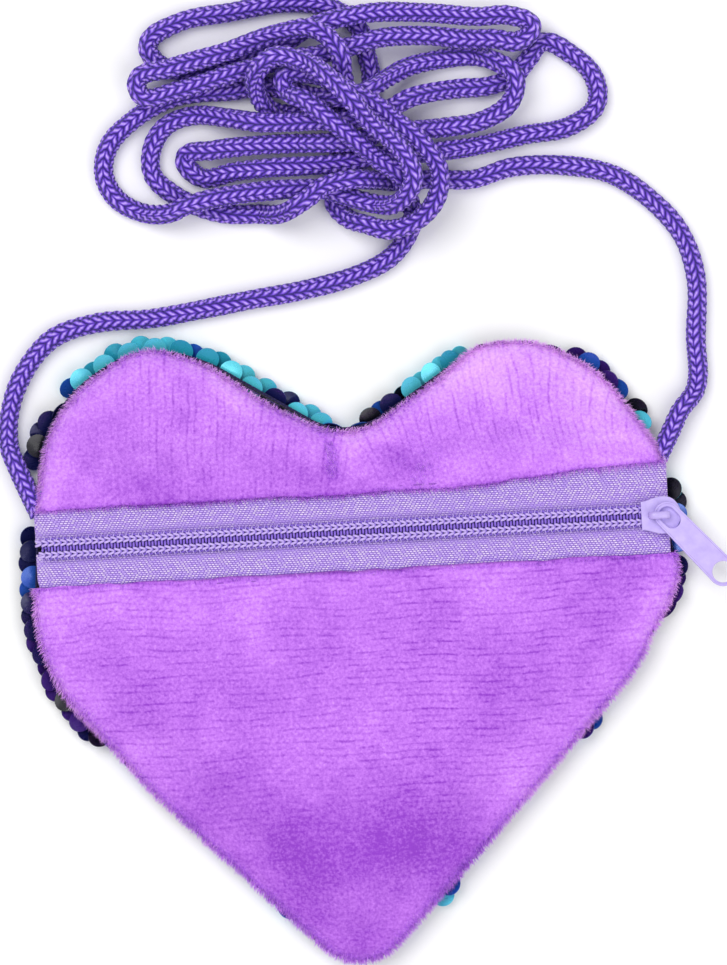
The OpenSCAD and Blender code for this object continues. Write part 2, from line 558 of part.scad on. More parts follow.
// The cord's route from the left seam to the right one: X, Y, and how many cords lie beneath.
// It is laid in a frame of its own that is turned by cord_turn against the purse
cord_turn = 3.2;
LEFT_ROUTE = [[-74, 19, 0], [-73, 29, 0], [-69, 37, 0], [-64, 42, 0], [-55, 45, 0], [-43, 46, 0],
    [-32, 48, 0], [-22, 50, 0], [-11, 52, 0], [0, 55, 0]];
HANK_ROUTE = [
    // Up through the knot to its upper left, back to its right and round beneath
    [8, 59, 0], [12, 64, 0.1], [13, 68, 0.4], [12, 72, 1], [10, 76.5, 1.9], [5, 80, 2.1],
    [0, 84, 2.9], [-5, 88, 3.2], [-10, 92, 2.8], [-14, 94.5, 2], [-14.5, 97.5, 2], [-10, 98, 2],
    [-5, 96.5, 2.8], [0, 93.5, 3.3], [5, 91, 2.9], [9, 88, 2.5], [14.5, 83.5, 2.5],
    [18.5, 77.5, 2.2], [18, 71.5, 1.9], [14, 66.8, 1.6], [8, 64.8, 1.3], [3, 66, 1],
    [-1, 67.5, 0.3], [-4, 71, 0], [-3.5, 76, 0], [-3, 80, 0], [-2.5, 85, 0.5], [-2, 89, 1],
    [-1, 93, 1], [-2, 98, 1.6],
    // The long fold to the upper left
    [-3, 103, 2.2], [-8, 107.5, 2], [-15, 107, 1.6], [-27, 103, 1.2], [-39, 99.5, 1.1],
    [-46, 97, 1], [-45, 93.5, 1], [-38, 94.5, 1], [-27, 98, 1], [-20, 100, 1], [-13, 101.5, 1],
    [-7, 102.5, 1], [-1, 104, 1],
    // The fold to the upper right
    [6, 106, 1], [16, 106.5, 1], [24, 105.8, 1], [30, 105.8, 1.1], [36, 105.5, 1], [38.5, 108.5, 1],
    [34, 110.8, 1], [27, 110.6, 1], [16, 111.4, 1], [5, 111.5, 1], [-4, 110, 1], [-10, 108, 0.7],
    [-15, 105, 0.3], [-22, 102, 0], [-30, 101, 0], [-38, 99.5, 0],
    // The loop along the top, and down beneath the knot
    [-42, 101, 0], [-44, 105, 0], [-38, 109.5, 0], [-26, 112, 0], [-14, 114, 0], [-5, 113, 0],
    [1, 109, 0], [3, 103, 0], [4, 98, 0], [3, 94, 0], [-2, 91, 0], [-8, 90, 0], [-14, 90, 0],
    [-18, 91, 0.5],
    // Over the knot to its right and round to the left again
    [-20.5, 94.5, 1.3], [-20.5, 98, 2.2], [-16.5, 101.3, 3], [-10, 100, 3.2], [-5, 96.5, 4],
    [-1, 92.5, 4.3], [4, 87, 3.6], [9, 83, 3.2], [12, 79, 3.2], [13, 75, 3], [10, 70.5, 2.2],
    [5, 70.4, 1.1], [-1, 72, 1], [-6, 73.5, 1],
    // The wide loop to the left
    [-12, 73.6, 1], [-22, 72.8, 1], [-32, 71, 1.2], [-36, 69.8, 1.1], [-39, 68.5, 0.8], [-46, 69, 0],
    [-51, 72, 0], [-53.5, 77, 0], [-52.5, 83, 0], [-47.5, 88.5, 0], [-40, 93, 0], [-33, 94.6, 0],
    [-26, 95, 0], [-20, 96, 0], [-14, 95, 0.6], [-8, 93.3, 1.2], [-5, 93, 1.8], [-2, 92.8, 2.2],
    [3, 94.2, 2.1],
    // The smaller loop to the right
    [7, 97, 1.2], [12, 100, 0.4], [20, 102, 0], [26, 102.5, 0], [31, 101, 0.7], [34.8, 97.8, 1.1],
    [34, 92.5, 0.8], [28, 88.5, 0.5], [20, 87, 0.5], [13, 86.2, 1], [6, 85.6, 1.1],
    // The narrow fold to the left
    [0, 83.7, 1.6], [-6, 83.4, 1.4], [-12, 83.4, 1], [-20, 83, 1], [-30, 82, 0.6], [-36, 80.5, 0],
    [-33, 76.5, 0], [-25, 77.5, 0.5], [-17, 78.2, 1], [-9, 78.6, 1], [-2, 79.2, 1], [4, 80.4, 1],
    // The wide loop to the right
    [8, 81, 1], [14, 81.2, 1], [20, 82, 0.5], [27, 83.2, 0], [37, 85.5, 0], [47, 87.5, 0],
    [52.5, 92, 0], [52, 98, 0], [47, 103, 0], [41, 105.5, 0], [38, 102, 0], [34.5, 98, 0],
    [29, 96, 0], [23, 95.5, 0], [17, 94.5, 0.5], [12, 93, 1], [8, 90.7, 1.3], [3, 89, 1.8],
    // The inner loop to the left, and out of the knot to the right
    [-2, 87.8, 2.1], [-8, 88, 1.8], [-14, 87.8, 1.4], [-20, 87.8, 1.3], [-27, 89, 0.6],
    [-34, 89.7, 0], [-40, 87.5, 0], [-43, 83, 0], [-43, 77, 0], [-39, 73, 0], [-33, 70, 0],
    [-27, 68.5, 0], [-20, 68.5, 0], [-15, 68.4, 1], [-10, 71, 2], [-6, 74, 2], [-1, 75.3, 2],
    [5, 75.5, 1], [10, 75.5, 0.1], [17, 76, 0], [26, 76, 0], [34, 78.5, 0], [45, 79, 0]];
RIGHT_ROUTE = [[56, 77, 0], [65, 71, 0], [71, 64, 0], [74, 55, 0], [74, 42, 0], [74, 31, 0]];

cord_rise = cord_d + 0.6;
function laid(q) = let (c = cos(cord_turn), s = sin(cord_turn))
    [q.x * c + q.y * s, q.y * c - q.x * s, cord_d / 2 + q.z * cord_rise];
function tail_end(end, l, side) = let (p = [end.x, end.y] + l * unit(end.z))
    [side * p.x, p.y, tail_z];
// The stations of the whole cord, and where its three stretches part
STATIONS = concat([tail_end(LEFT_SEWN, tail_l, -1), tail_end(LEFT_SEWN, tail_l + cord_d, -1)],
    [for (q = LEFT_ROUTE) laid(q)], [for (q = HANK_ROUTE) laid(q)], [for (q = RIGHT_ROUTE) laid(q)],
    [tail_end(RIGHT_SEWN, tail_l + cord_d, 1), tail_end(RIGHT_SEWN, tail_l, 1)]);
hank_first = len(LEFT_ROUTE) + 1;
hank_last = hank_first + len(HANK_ROUTE);
last_station = len(STATIONS) - 1;
function way(v) = v / norm(v);
function along(i) = i <= 1 ? way(STATIONS[1] - STATIONS[0])
    : i >= last_station - 1 ? way(STATIONS[last_station] - STATIONS[last_station - 1])
    : way(way(STATIONS[i + 1] - STATIONS[i]) + way(STATIONS[i] - STATIONS[i - 1]));
// Halfway between two stations the cord bows out by an eighth of the turn between their ways
function halfway(i) = let (l = norm(STATIONS[i + 1] - STATIONS[i]), b = (along(i) - along(i + 1)) * l / 8)
    [mix(STATIONS[i], STATIONS[i + 1], 0.5) + [b.x, b.y, 0], way(STATIONS[i + 1] - STATIONS[i])];
long_step = cord_d * 1.3;
function rings(first, last, step) = [for (i = [first:last])
    each concat([[STATIONS[i], along(i)]],
        i < last && i > 0 && i < last_station - 1 && norm(STATIONS[i + 1] - STATIONS[i]) > step
            ? [halfway(i)] : [])];
module tube(stops, sides) {
    m = len(stops);
    points = [for (s = stops) let (side = way(cross(s[1], [0, 0, 1])), up = cross(side, s[1]))
        for (k = [0:sides - 1]) let (a = k * 360 / sides)
            s[0] + cord_d / 2 * (side * sin(a) - up * cos(a))];
    polyhedron(points, concat([[for (j = [0:sides - 1]) j]],
        [for (i = [0:m - 2], j = [0:sides - 1]) let (a = i * sides + j, b = i * sides + (j + 1) % sides)
            each [[a, b + sides, b], [a, a + sides, b + sides]]],
        [[for (j = [sides - 1:-1:0]) (m - 1) * sides + j]]));
}
LEFT_STOPS = rings(0, hank_first, cord_d * 2);
HANK_STOPS = rings(hank_first, hank_last, long_step);
RIGHT_STOPS = rings(hank_last, last_station, cord_d * 2);
module left_cord_run() color("mediumslateblue") in_frame() tube(LEFT_STOPS, 8);

module cord_hank() color("mediumslateblue") in_frame() tube(HANK_STOPS, 6);

module right_cord_run() color("mediumslateblue") in_frame() tube(RIGHT_STOPS, 8);

module cord_tail(end) {
    translate([end.x, end.y, tail_z]) rotate([0, 0, end.z]) rotate([0, 90, 0])
        cylinder(d = cord_d, h = tail_l, $fn = 64);
}
module left_cord_tail() color("mediumslateblue") in_frame() mirror([1, 0, 0]) cord_tail(LEFT_SEWN);

module right_cord_tail() color("mediumslateblue") in_frame() cord_tail(RIGHT_SEWN);

// The cord's length, and its least gap to itself beyond two diameters along it
CORD = concat(LEFT_STOPS, HANK_STOPS, RIGHT_STOPS);
CORD_AT = lengths([for (s = CORD) s[0]]);
function segment_gap(a, b, c, d) = let (u = b - a, v = d - c, w = a - c,
    uu = u * u, uv = u * v, vv = v * v, uw = u * w, vw = v * w, den = uu * vv - uv * uv,
    s = den < 0.0001 ? 0 : max(0, min(1, (uv * vw - vv * uw) / den)),
    t = max(0, min(1, (uv * s + vw) / vv)), s2 = max(0, min(1, (uv * t - uw) / uu)))
    norm(w + s2 * u - t * v);
function box_apart(a, b, c, d, r) = min(a.x, b.x) > max(c.x, d.x) + r || min(c.x, d.x) > max(a.x, b.x) + r
    || min(a.y, b.y) > max(c.y, d.y) + r || min(c.y, d.y) > max(a.y, b.y) + r;
CORD_GAPS = [for (i = [0:len(CORD) - 2], k = [i + 2:len(CORD) - 2])
    let (a = CORD[i][0], b = CORD[i + 1][0], c = CORD[k][0], d = CORD[k + 1][0])
    if (norm(b - a) > 0 && norm(d - c) > 0 && CORD_AT[k] - CORD_AT[i + 1] > cord_d * 2
        && !box_apart(a, b, c, d, cord_d * 1.5)) segment_gap(a, b, c, d) - cord_d];
echo(cord_length = CORD_AT[len(CORD) - 1] + tail_l * 2, least_gap_of_cord_to_itself = min(CORD_GAPS));

echo(pull_tab_pivot = [pivot_x - frame_x, -frame_y, pivot_z],
     pull_tab_hole = [pivot_x + ring_x - frame_x, -frame_y] + tab_span * TAB_WAY);

backing_cloth();
front_lining();
field_sequins();
left_lobe_sequins();
right_lobe_sequins();
tip_sequins();
rim_sequins();
sequin_stitches();
upper_plush_panel();
lower_plush_panel();
upper_lining();
lower_lining();
rim_seam_stitches();
upper_zip_tape();
lower_zip_tape();
upper_coil();
lower_coil();
upper_coil_cord();
lower_coil_cord();
upper_coil_stitching();
lower_coil_stitching();
upper_tape_seam();
lower_tape_seam();
left_zip_tacks();
right_zip_tacks();
slider_body();
pull_tab();
left_cord_tail();
right_cord_tail();
left_cord_run();
cord_hank();
right_cord_run();
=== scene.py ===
import math
import bmesh
import bpy
import numpy as np
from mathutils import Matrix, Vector


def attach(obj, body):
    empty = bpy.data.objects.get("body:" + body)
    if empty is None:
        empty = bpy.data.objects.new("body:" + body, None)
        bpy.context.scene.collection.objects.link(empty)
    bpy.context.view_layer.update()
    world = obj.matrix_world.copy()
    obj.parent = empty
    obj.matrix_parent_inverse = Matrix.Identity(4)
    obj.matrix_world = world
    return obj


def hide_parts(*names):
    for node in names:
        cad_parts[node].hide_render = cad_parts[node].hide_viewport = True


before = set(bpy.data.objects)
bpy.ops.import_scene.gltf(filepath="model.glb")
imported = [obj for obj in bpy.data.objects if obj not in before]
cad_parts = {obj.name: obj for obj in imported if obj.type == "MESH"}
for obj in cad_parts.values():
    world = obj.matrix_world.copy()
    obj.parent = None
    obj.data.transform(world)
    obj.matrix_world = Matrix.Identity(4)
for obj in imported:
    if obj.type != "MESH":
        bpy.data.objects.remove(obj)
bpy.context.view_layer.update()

# ---------------------------------------------------------------- sizes, in millimetres
MM = 0.001
# Where the frame's origin lies in the drawing, whose own origin is the middle of the zip
FRAME_X, FRAME_Y = 5.64496, -25.4086
HEART_W, LOBE_TOP, LOBE_X, LOBE_R = 138.0, 40.5, 40.0, 27.0
SHOULDER_DROP, SHOULDER_R, TIP_DROP, TIP_R = 13.0, 32.0, 91.5, 10.7
NOTCH_Y, NOTCH_R = 22.6, 14.0
# The seam that closes the purse, the back's rise over it, and the front's turned-up rim
SEAM_Z, SHOULDER_RISE, RIM_R = 4.4515, 2.0, 3.5
UPPER_CROWN, LOWER_CROWN = 3, 4
# Half the zip's opening between the panels, and half the width over both tapes
MOUTH, TAPE_EDGE = 8.2, 12.5


# ---------------------------------------------------------------- the outline
def unit(a):
    """The direction of an angle in degrees."""
    return np.array([math.cos(math.radians(a)), math.sin(math.radians(a))])


def heading(v):
    """The angle of a direction in degrees."""
    return math.degrees(math.atan2(v[1], v[0]))


# Notch, lobe, shoulder and tip: each arc's centre and radius, below zero for a hollow
ARCS = [(0, NOTCH_Y + NOTCH_R, -NOTCH_R), (LOBE_X, LOBE_TOP - LOBE_R, LOBE_R),
        (HEART_W / 2 - SHOULDER_R, -SHOULDER_DROP, SHOULDER_R), (0, TIP_R - TIP_DROP, TIP_R)]


def facing(a, b):
    """The way that the line touching two arcs faces."""
    dx, dy = b[0] - a[0], b[1] - a[1]
    return math.degrees(math.atan2(dy, dx) + math.acos((a[2] - b[2]) / math.hypot(dx, dy)))


ARC_TURNS = [90] + [facing(ARCS[i], ARCS[i + 1]) for i in range(3)] + [-90]


def half_outline(step):
    """The outline's right half from the notch to the tip, and the way out at each point."""
    pts, ways = [], []
    for k in range(4):
        c, r = np.array(ARCS[k][:2]), ARCS[k][2]
        n = max(2, int(abs(math.radians(ARC_TURNS[k + 1] - ARC_TURNS[k]) * r) / step))
        for i in range(n + 1):
            a = ARC_TURNS[k] + (ARC_TURNS[k + 1] - ARC_TURNS[k]) * i / n
            pts.append(c + r * unit(a))
            ways.append(unit(a))
        if k < 3:
            a = ARC_TURNS[k + 1]
            p, q = c + r * unit(a), np.array(ARCS[k + 1][:2]) + ARCS[k + 1][2] * unit(a)
            n = max(2, int(np.linalg.norm(q - p) / step))
            for i in range(1, n):
                pts.append(p + (q - p) * i / n)
                ways.append(unit(a))
    return np.array(pts), np.array(ways)


def closed(line):
    return np.concatenate([line, line[:1]])


def lengths_along(line):
    """How far along a line each of its points lies."""
    return np.concatenate([[0], np.cumsum(np.linalg.norm(np.diff(line, axis=0), axis=1))])


def at_lengths(wanted, at, values):
    """The values of a line at other places along it."""
    return np.stack([np.interp(wanted, at, values[:, k]) for k in range(values.shape[1])], 1)


def to_one(v, spare=0.0):
    """Vectors of length one; spare keeps a vector of no length from a division by zero."""
    return v / (np.linalg.norm(v, axis=-1)[..., None] + spare)


HALF, HALF_WAY = half_outline(0.8)
FLIP = np.array([-1.0, 1.0])
EDGE, EDGE_WAY = (np.concatenate([h, (h * FLIP)[-2:0:-1]]) for h in (HALF, HALF_WAY))
COARSE, COARSE_WAY = EDGE[::2], EDGE_WAY[::2]
RING, RING_WAY = closed(EDGE), closed(EDGE_WAY)
RING_AT = lengths_along(RING)
# Points worked on at a time
BATCH = 4000


def depth(p):
    """How far the points lie from the outline."""
    p = np.asarray(p, float)
    d = np.roll(COARSE, -1, 0) - COARSE
    dd = (d * d).sum(1)
    out = np.empty(len(p))
    for i in range(0, len(p), BATCH):
        w = p[i:i + BATCH, None, :] - COARSE[None]
        t = np.clip((w * d).sum(2) / dd, 0, 1)
        w -= t[..., None] * d
        out[i:i + BATCH] = np.sqrt((w * w).sum(2).min(1))
    return out


def smooth(t):
    t = np.clip(t, 0, 1)
    return t * t * (3 - 2 * t)


def bulge(t):
    """A quarter circle's rise."""
    t = np.clip(t, 0, 1)
    return np.sqrt(1 - (1 - t) ** 2)


def ridge(x, middle, width):
    return np.exp(-((x - middle) / width) ** 2)


def mound(x, y, middle, width, length):
    return np.exp(-((x - middle[0]) / width) ** 2 - ((y - middle[1]) / length) ** 2)


def crown(p, d):
    """How far the panels swell, at points of that depth."""
    y = p[:, 1]
    up = UPPER_CROWN * smooth((y - TAPE_EDGE) / (LOBE_R * 0.5))
    low = LOWER_CROWN * smooth((-y - TAPE_EDGE) / (SHOULDER_R * 0.85))
    return smooth(d / (SHOULDER_R / 2)) * np.where(y > 0, up, low)


# ---------------------------------------------------------------- helpers
def to_frame(v):
    """Points of the drawing in the frame, in metres."""
    v = np.array(v, float).reshape(-1, 3)
    return (v - [FRAME_X, FRAME_Y, 0]) * MM


def with_z(p, z):
    return np.concatenate([p, np.broadcast_to(np.asarray(z, float).reshape(-1, 1), (len(p), 1))], 1)


def between(g, i, j, u, w):
    """A repeating grid's value at the shares u and w of the way to its next points."""
    at = lambda a, b: g[a % g.shape[0], b % g.shape[1]]
    return ((at(i, j) * (1 - u) + at(i + 1, j) * u) * (1 - w)
            + (at(i, j + 1) * (1 - u) + at(i + 1, j + 1) * u) * w)


def smooth_noise(x, y, scale, seed):
    """Value noise on a grid of that scale, from 0 to 1."""
    g = np.random.default_rng(seed).random((256, 256))
    u, v = np.asarray(x) / scale + 100, np.asarray(y) / scale + 100
    i, j = np.floor(u).astype(int), np.floor(v).astype(int)
    return between(g, i, j, smooth(u - i), smooth(v - j))


def lean_field(x, y):
    """The real heart isn't quite even: its right lobe is smaller, and its tip lies to the left."""
    lobe = smooth((x - 12) / 34) * smooth((y - 8) / 20)
    left = 3.0 * smooth((-y - 20) / 38)
    right = 4.2 * smooth((-y - 11) / 16) - 1.1 * smooth((-y - 30) / 40)
    side = smooth((x + 45) / 90)
    peak = mound(x, y, (-43, 42), 9, 9)
    return np.stack([-3.4 * lobe - left * (1 - side) - right * side, peak - 2.1 * lobe], -1)


def pull_field(x, y):
    """How the plush is drawn in from the sequins' rim, and up from the zip at the right."""
    shape = np.shape(x)
    p = np.stack([np.ravel(x), np.ravel(y)], 1)
    way = np.empty_like(p)
    near = np.empty(len(p))
    for i in range(0, len(p), BATCH):
        d = ((p[i:i + BATCH, None] - COARSE[None]) ** 2).sum(2)
        k = d.argmin(1)
        way[i:i + BATCH] = COARSE_WAY[k]
        near[i:i + BATCH] = np.sqrt(d[np.arange(len(k)), k])
    x, y = p.T
    lobes = (1.3 - 1.3 * smooth((x - 20) / 12) + 0.8 * smooth((x - 44) / 10)) * smooth((y - 6) / 12)
    flanks = smooth((-y - 4) / 8) * (0.7 * smooth((-x - 42) / 12) - 0.25)
    out = -way * ((lobes + flanks) * np.exp(-(near / 7) ** 2))[:, None]
    out[:, 1] += 3.3 * smooth((x - 16) / 50) * np.exp(-np.clip(y - MOUTH, 0, 99) / 7) \
        * smooth((y - 5) / 3)
    # The left lobe comes to more of a peak, with a straighter flank down to the notch
    out[:, 1] -= 1.2 * mound(x, y, (-15, 32), 9, 9)
    out[:, 1] += 0.9 * mound(x, y, (-43, 42), 8, 8)
    return out.reshape(shape + (2,))


# The fields are worked out once, at each millimetre
FIELD_X, FIELD_Y = np.arange(-84, 85.0), np.arange(-104, 57.0)
GRID = np.meshgrid(FIELD_X, FIELD_Y, indexing="ij")
FIELDS = {"rim": lean_field(*GRID)}
FIELDS["plush"] = FIELDS["rim"] + pull_field(*GRID)


def moved(v, field):
    """Points shifted by a field."""
    v = np.array(v, float).reshape(-1, 3)
    g = FIELDS[field]
    x = np.clip(v[:, 0] - FIELD_X[0], 0, g.shape[0] - 1.001)
    y = np.clip(v[:, 1] - FIELD_Y[0], 0, g.shape[1] - 1.001)
    i, j = x.astype(int), y.astype(int)
    v[:, :2] += between(g, i, j, (x - i)[:, None], (y - j)[:, None])
    return v


def link(name, data):
    ob = bpy.data.objects.new(name, data)
    bpy.context.scene.collection.objects.link(ob)
    return ob


def make(name, verts, faces, mat, replaces=(), attrs=(), uvs=(), field=None):
    """A piece from points in millimetres and arrays of faces with one count of corners each."""
    v = to_frame(moved(verts, field) if field else verts)
    faces = [np.asarray(f, np.int32) for f in faces if len(f)]
    me = bpy.data.meshes.new(name)
    me.vertices.add(len(v))
    me.vertices.foreach_set("co", v.ravel())
    loops = np.concatenate([f.ravel() for f in faces])
    sizes = np.concatenate([np.full(len(f), f.shape[1]) for f in faces])
    starts = np.concatenate([[0], np.cumsum(sizes)[:-1]]).astype(np.int32)
    me.loops.add(len(loops))
    me.loops.foreach_set("vertex_index", loops)
    me.polygons.add(len(sizes))
    me.polygons.foreach_set("loop_start", starts)
    me.update(calc_edges=True)
    me.polygons.foreach_set("use_smooth", np.ones(len(sizes), bool))
    for key, data in attrs:
        data = np.asarray(data, np.float32)
        if data.ndim == 1:
            me.attributes.new(key, "FLOAT", "POINT").data.foreach_set("value", data)
        else:
            rgba = np.concatenate([data, np.ones((len(data), 1), np.float32)], 1)
            me.attributes.new(key, "FLOAT_COLOR", "POINT").data.foreach_set("color", rgba.ravel())
    for key, data in uvs:
        data = np.asarray(data, np.float32)
        per_loop = data[loops] if len(data) == len(v) else data
        me.uv_layers.new(name=key).data.foreach_set("uv", per_loop.ravel())
    me.materials.append(mat)
    ob = link(name, me)
    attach(ob, "purse")
    if replaces:
        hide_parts(*replaces)
    return ob


def grid_faces(rows, cols, wrap=False):
    cells = np.arange(cols if wrap else cols - 1)
    i, j = np.meshgrid(np.arange(rows - 1), cells, indexing="ij")
    k = (j + 1) % cols
    a, b = i * cols + j, i * cols + k
    return np.stack([a, b, b + cols, a + cols], -1).reshape(-1, 4)


def tube(line, radius, sides=6, flat=1.0, start=0, up=(0, 0, 1)):
    """A tube round each polyline of a stack of them: points (n, k, 3) give verts and faces."""
    line = np.asarray(line, float)
    n, k = line.shape[:2]
    way = to_one(np.gradient(line, axis=1), 1e-9)
    side = to_one(np.cross(way, np.asarray(up, float)), 1e-9)
    top = np.cross(side, way)
    r = np.broadcast_to(np.asarray(radius, float), (n, k))
    a = np.arange(sides) / sides * 2 * math.pi
    pts = line[:, :, None] + r[..., None, None] * (np.cos(a)[:, None] * side[:, :, None]
                                                   + flat * np.sin(a)[:, None] * top[:, :, None])
    block = k * sides
    first = (np.arange(n) * block)[:, None, None] + start
    quads = first + grid_faces(k, sides, wrap=True)[None]
    ends = np.stack([np.arange(sides)[::-1], block - sides + np.arange(sides)])
    return pts.reshape(-1, 3), quads.reshape(-1, 4), (first + ends[None]).reshape(-1, sides)


def threads(name, lines, radius, mat, slot="thread", replaces=None, field=None, **shape):
    """A piece with a tube along each of its lines."""
    v, q, caps = tube(lines, radius, **shape)
    return make(name, v, [q, caps], mat, (replaces or name,), field=field)


# ---------------------------------------------------------------- camera
# How far the camera is above the purse, and the height that it takes in there, in metres
CAM_DIST, CAM_SPAN = 1.1, 0.20753
cam = bpy.data.cameras.new("camera")
cam_ob = link("camera", cam)
cam_ob.location = Vector(to_frame([3.0, 10.5, 4])[0]) + Vector((0, 0, CAM_DIST))
cam_ob.rotation_euler = (0, 0, math.radians(-3.2))
cam.sensor_fit = "VERTICAL"
cam.angle = 2 * math.atan(CAM_SPAN / 2 / CAM_DIST)
cam.clip_start = 0.05
bpy.context.scene.camera = cam_ob


# ---------------------------------------------------------------- materials
def srgb(*c):
    return tuple(x / 255 / 12.92 if x <= 10 else ((x / 255 + 0.055) / 1.055) ** 2.4
                 for x in c) + (1,)


class Nodes:
    """A short way to write the nodes of a material or a world."""

    def __init__(self, name, world=False):
        self.block = (bpy.data.worlds if world else bpy.data.materials).new(name)
        self.block.use_nodes = True
        self.tree = self.block.node_tree
        self.shader = self.tree.nodes["Background" if world else "Principled BSDF"]

    def put(self, socket, value):
        if isinstance(value, bpy.types.NodeSocket):
            self.tree.links.new(value, socket)
        elif value is not None:
            socket.default_value = value

    def fill(self, n, values):
        for k, v in values.items():
            self.put(n.inputs[k.replace("_", " ")], v)

    def node(self, kind, *inputs, values=None, **props):
        n = self.tree.nodes.new("ShaderNode" + kind)
        for k, v in props.items():
            setattr(n, k, v)
        for i, v in enumerate(inputs):
            self.put(n.inputs[i], v)
        self.fill(n, values or {})
        return n

    def math(self, op, a, b=None, c=None, clamp=False):
        return self.node("Math", a, b, c, operation=op, use_clamp=clamp).outputs[0]

    def add(self, a, b, clamp=False):
        return self.math("ADD", a, b, clamp=clamp)

    def sub(self, a, b, clamp=False):
        return self.math("SUBTRACT", a, b, clamp=clamp)

    def mul(self, a, b, clamp=False):
        return self.math("MULTIPLY", a, b, clamp=clamp)

    def scaled(self, a, factor, plus):
        return self.math("MULTIPLY_ADD", a, factor, plus)

    def absolute(self, a):
        return self.math("ABSOLUTE", a)

    def fraction(self, a):
        return self.math("FRACT", a)

    def fold(self, a):
        """Falls from 1 to 0 and comes back, once for each unit."""
        return self.absolute(self.scaled(self.fraction(a), 2, -1))

    def attr(self, name, colour=False):
        n = self.node("Attribute", attribute_name=name)
        return n.outputs["Color"] if colour else n.outputs["Fac"]

    def noise(self, scale, detail=3, rough=0.55, vector=None):
        values = dict(Vector=vector or self.object(), Scale=scale, Detail=detail, Roughness=rough)
        return self.node("TexNoise", values=values).outputs["Fac"]

    def object(self):
        return self.node("TexCoord").outputs["Object"]

    def split(self, vector):
        return self.node("SeparateXYZ", vector).outputs

    def ramp(self, fac, *stops):
        n = self.node("ValToRGB", fac)
        e = n.color_ramp.elements
        while len(e) < len(stops):
            e.new(0.5)
        for el, (at, col) in zip(e, stops):
            el.position, el.color = at, col
        return n.outputs[0]

    def mix(self, fac, a, b):
        n = self.node("Mix", data_type="RGBA")
        for i, value in ((0, fac), (6, a), (7, b)):
            self.put(n.inputs[i], value)
        return n.outputs[2]

    def white_seen(self, colour):
        """White for the camera, and that colour in the light that it gives."""
        return self.mix(self.node("LightPath").outputs["Is Camera Ray"], colour, (1, 1, 1, 1))

    def bump(self, height, distance, strength):
        n = self.node("Bump", values=dict(Strength=strength, Distance=distance, Height=height))
        self.fill(self.shader, {"Normal": n.outputs[0]})
        return n

    def set(self, **values):
        self.fill(self.shader, values)
        return self.block


def plush_material():
    m = Nodes("plush pile")
    across, along = m.attr("across"), m.attr("along")
    # Thin lines of painted shade where the rows of pile part, broken in uneven runs
    off = m.absolute(m.sub(m.fraction(across), 0.5))
    line = m.sub(1, m.math("DIVIDE", off, 0.26), clamp=True)
    place = m.node("CombineXYZ", along, across).outputs[0]
    part = m.mul(m.sub(m.noise(1.0, 2, 0.6, place), 0.40), 4.5, clamp=True)
    parting_shade = m.mul(m.mul(line, part), m.attr("ribs"))
    tuft = m.sub(m.noise(1500, 3, 0.7), 0.5)
    shade = m.add(tuft, m.sub(m.attr("shade"), m.mul(parting_shade, 0.34)))
    col = m.ramp(shade, (0.0, srgb(146, 64, 200)), (0.45, srgb(202, 126, 243)),
                 (1.0, srgb(244, 190, 255)))
    return m.set(Base_Color=col, Roughness=0.85, Sheen_Weight=0.15, Sheen_Roughness=0.4,
                 Sheen_Tint=srgb(236, 190, 255), Specular_IOR_Level=0.2)


def cord_material():
    m = Nodes("braided cord")
    u, v, _ = m.split(m.node("UVMap", uv_map="braid").outputs[0])
    column = m.math("FLOOR", u)
    a = m.fold(u)
    # How far across its stitch a point lies: the stitches of a column slant to both its sides
    p = m.fraction(m.add(m.scaled(column, 0.5, v), m.mul(a, 0.85)))
    swell = m.math("SINE", m.mul(p, math.pi))
    edge = m.sub(1, m.math("POWER", a, 5))
    seam = m.add(m.mul(a, 3.2), 0.35, clamp=True)
    h = m.mul(m.mul(swell, edge), seam)
    strands = m.math("SINE", m.mul(m.add(m.mul(a, 2.2), m.mul(p, -1.2)), 34))
    # Colour follows the stitch's height: painted shade in the grooves between stitches, painted
    # highlights on their tops
    c = m.ramp(h, (0.0, srgb(32, 8, 104)), (0.38, srgb(82, 42, 180)), (0.72, srgb(136, 92, 236)),
               (1.0, srgb(198, 164, 255)))
    m.bump(m.scaled(strands, 0.035, h), 0.00035, 0.9)
    return m.set(Base_Color=c, Roughness=0.42, Sheen_Weight=0.15, Specular_IOR_Level=0.45)


def tape_material():
    m = Nodes("zip tape twill")
    rib_w, thread_l = 0.00044, 0.00078
    x, y, _ = m.split(m.object())
    away = m.absolute(m.add(y, FRAME_Y * MM))
    wobbled = m.add(x, m.mul(m.noise(160, 2), 0.0007))
    row = m.math("DIVIDE", m.add(away, m.mul(m.noise(90, 2), 0.0004)), rib_w)
    j = m.math("FLOOR", row)
    # The ribs run one way on the inner half of the tape, and the other way on the outer half
    turn = m.absolute(m.sub(j, 15))
    cell = m.add(m.math("DIVIDE", wobbled, thread_l), m.mul(turn, 0.36))
    i = m.math("FLOOR", cell)
    thread = m.mul(m.sub(1, m.math("POWER", m.fold(cell), 4)),
                   m.sub(1, m.math("POWER", m.fold(row), 2.2)))
    r = m.node("TexWhiteNoise", m.node("CombineXYZ", i, j).outputs[0],
               noise_dimensions="2D").outputs[0]
    # A smoother stripe beside the coil
    stripe = m.sub(1, m.absolute(m.math("DIVIDE", m.sub(away, 0.0032), 0.0011)))
    calm = m.mul(m.math("SMOOTH_MAX", 0, stripe, 0.2), 0.6)
    # Colour follows each thread's height: painted shade in the gaps between threads, and painted
    # glints on their tops, brighter on some threads at random
    h = m.mul(thread, m.scaled(r, 0.45, 0.62))
    c = m.ramp(h, (0.0, srgb(114, 78, 188)), (0.3, srgb(170, 134, 230)),
               (0.62, srgb(202, 170, 248)), (0.96, srgb(244, 228, 255)))
    m.bump(h, 0.00022, 0.8)
    return m.set(Base_Color=m.mix(calm, c, srgb(180, 146, 238)), Roughness=0.5,
                 Sheen_Weight=0.25, Sheen_Roughness=0.4, Specular_IOR_Level=0.4)


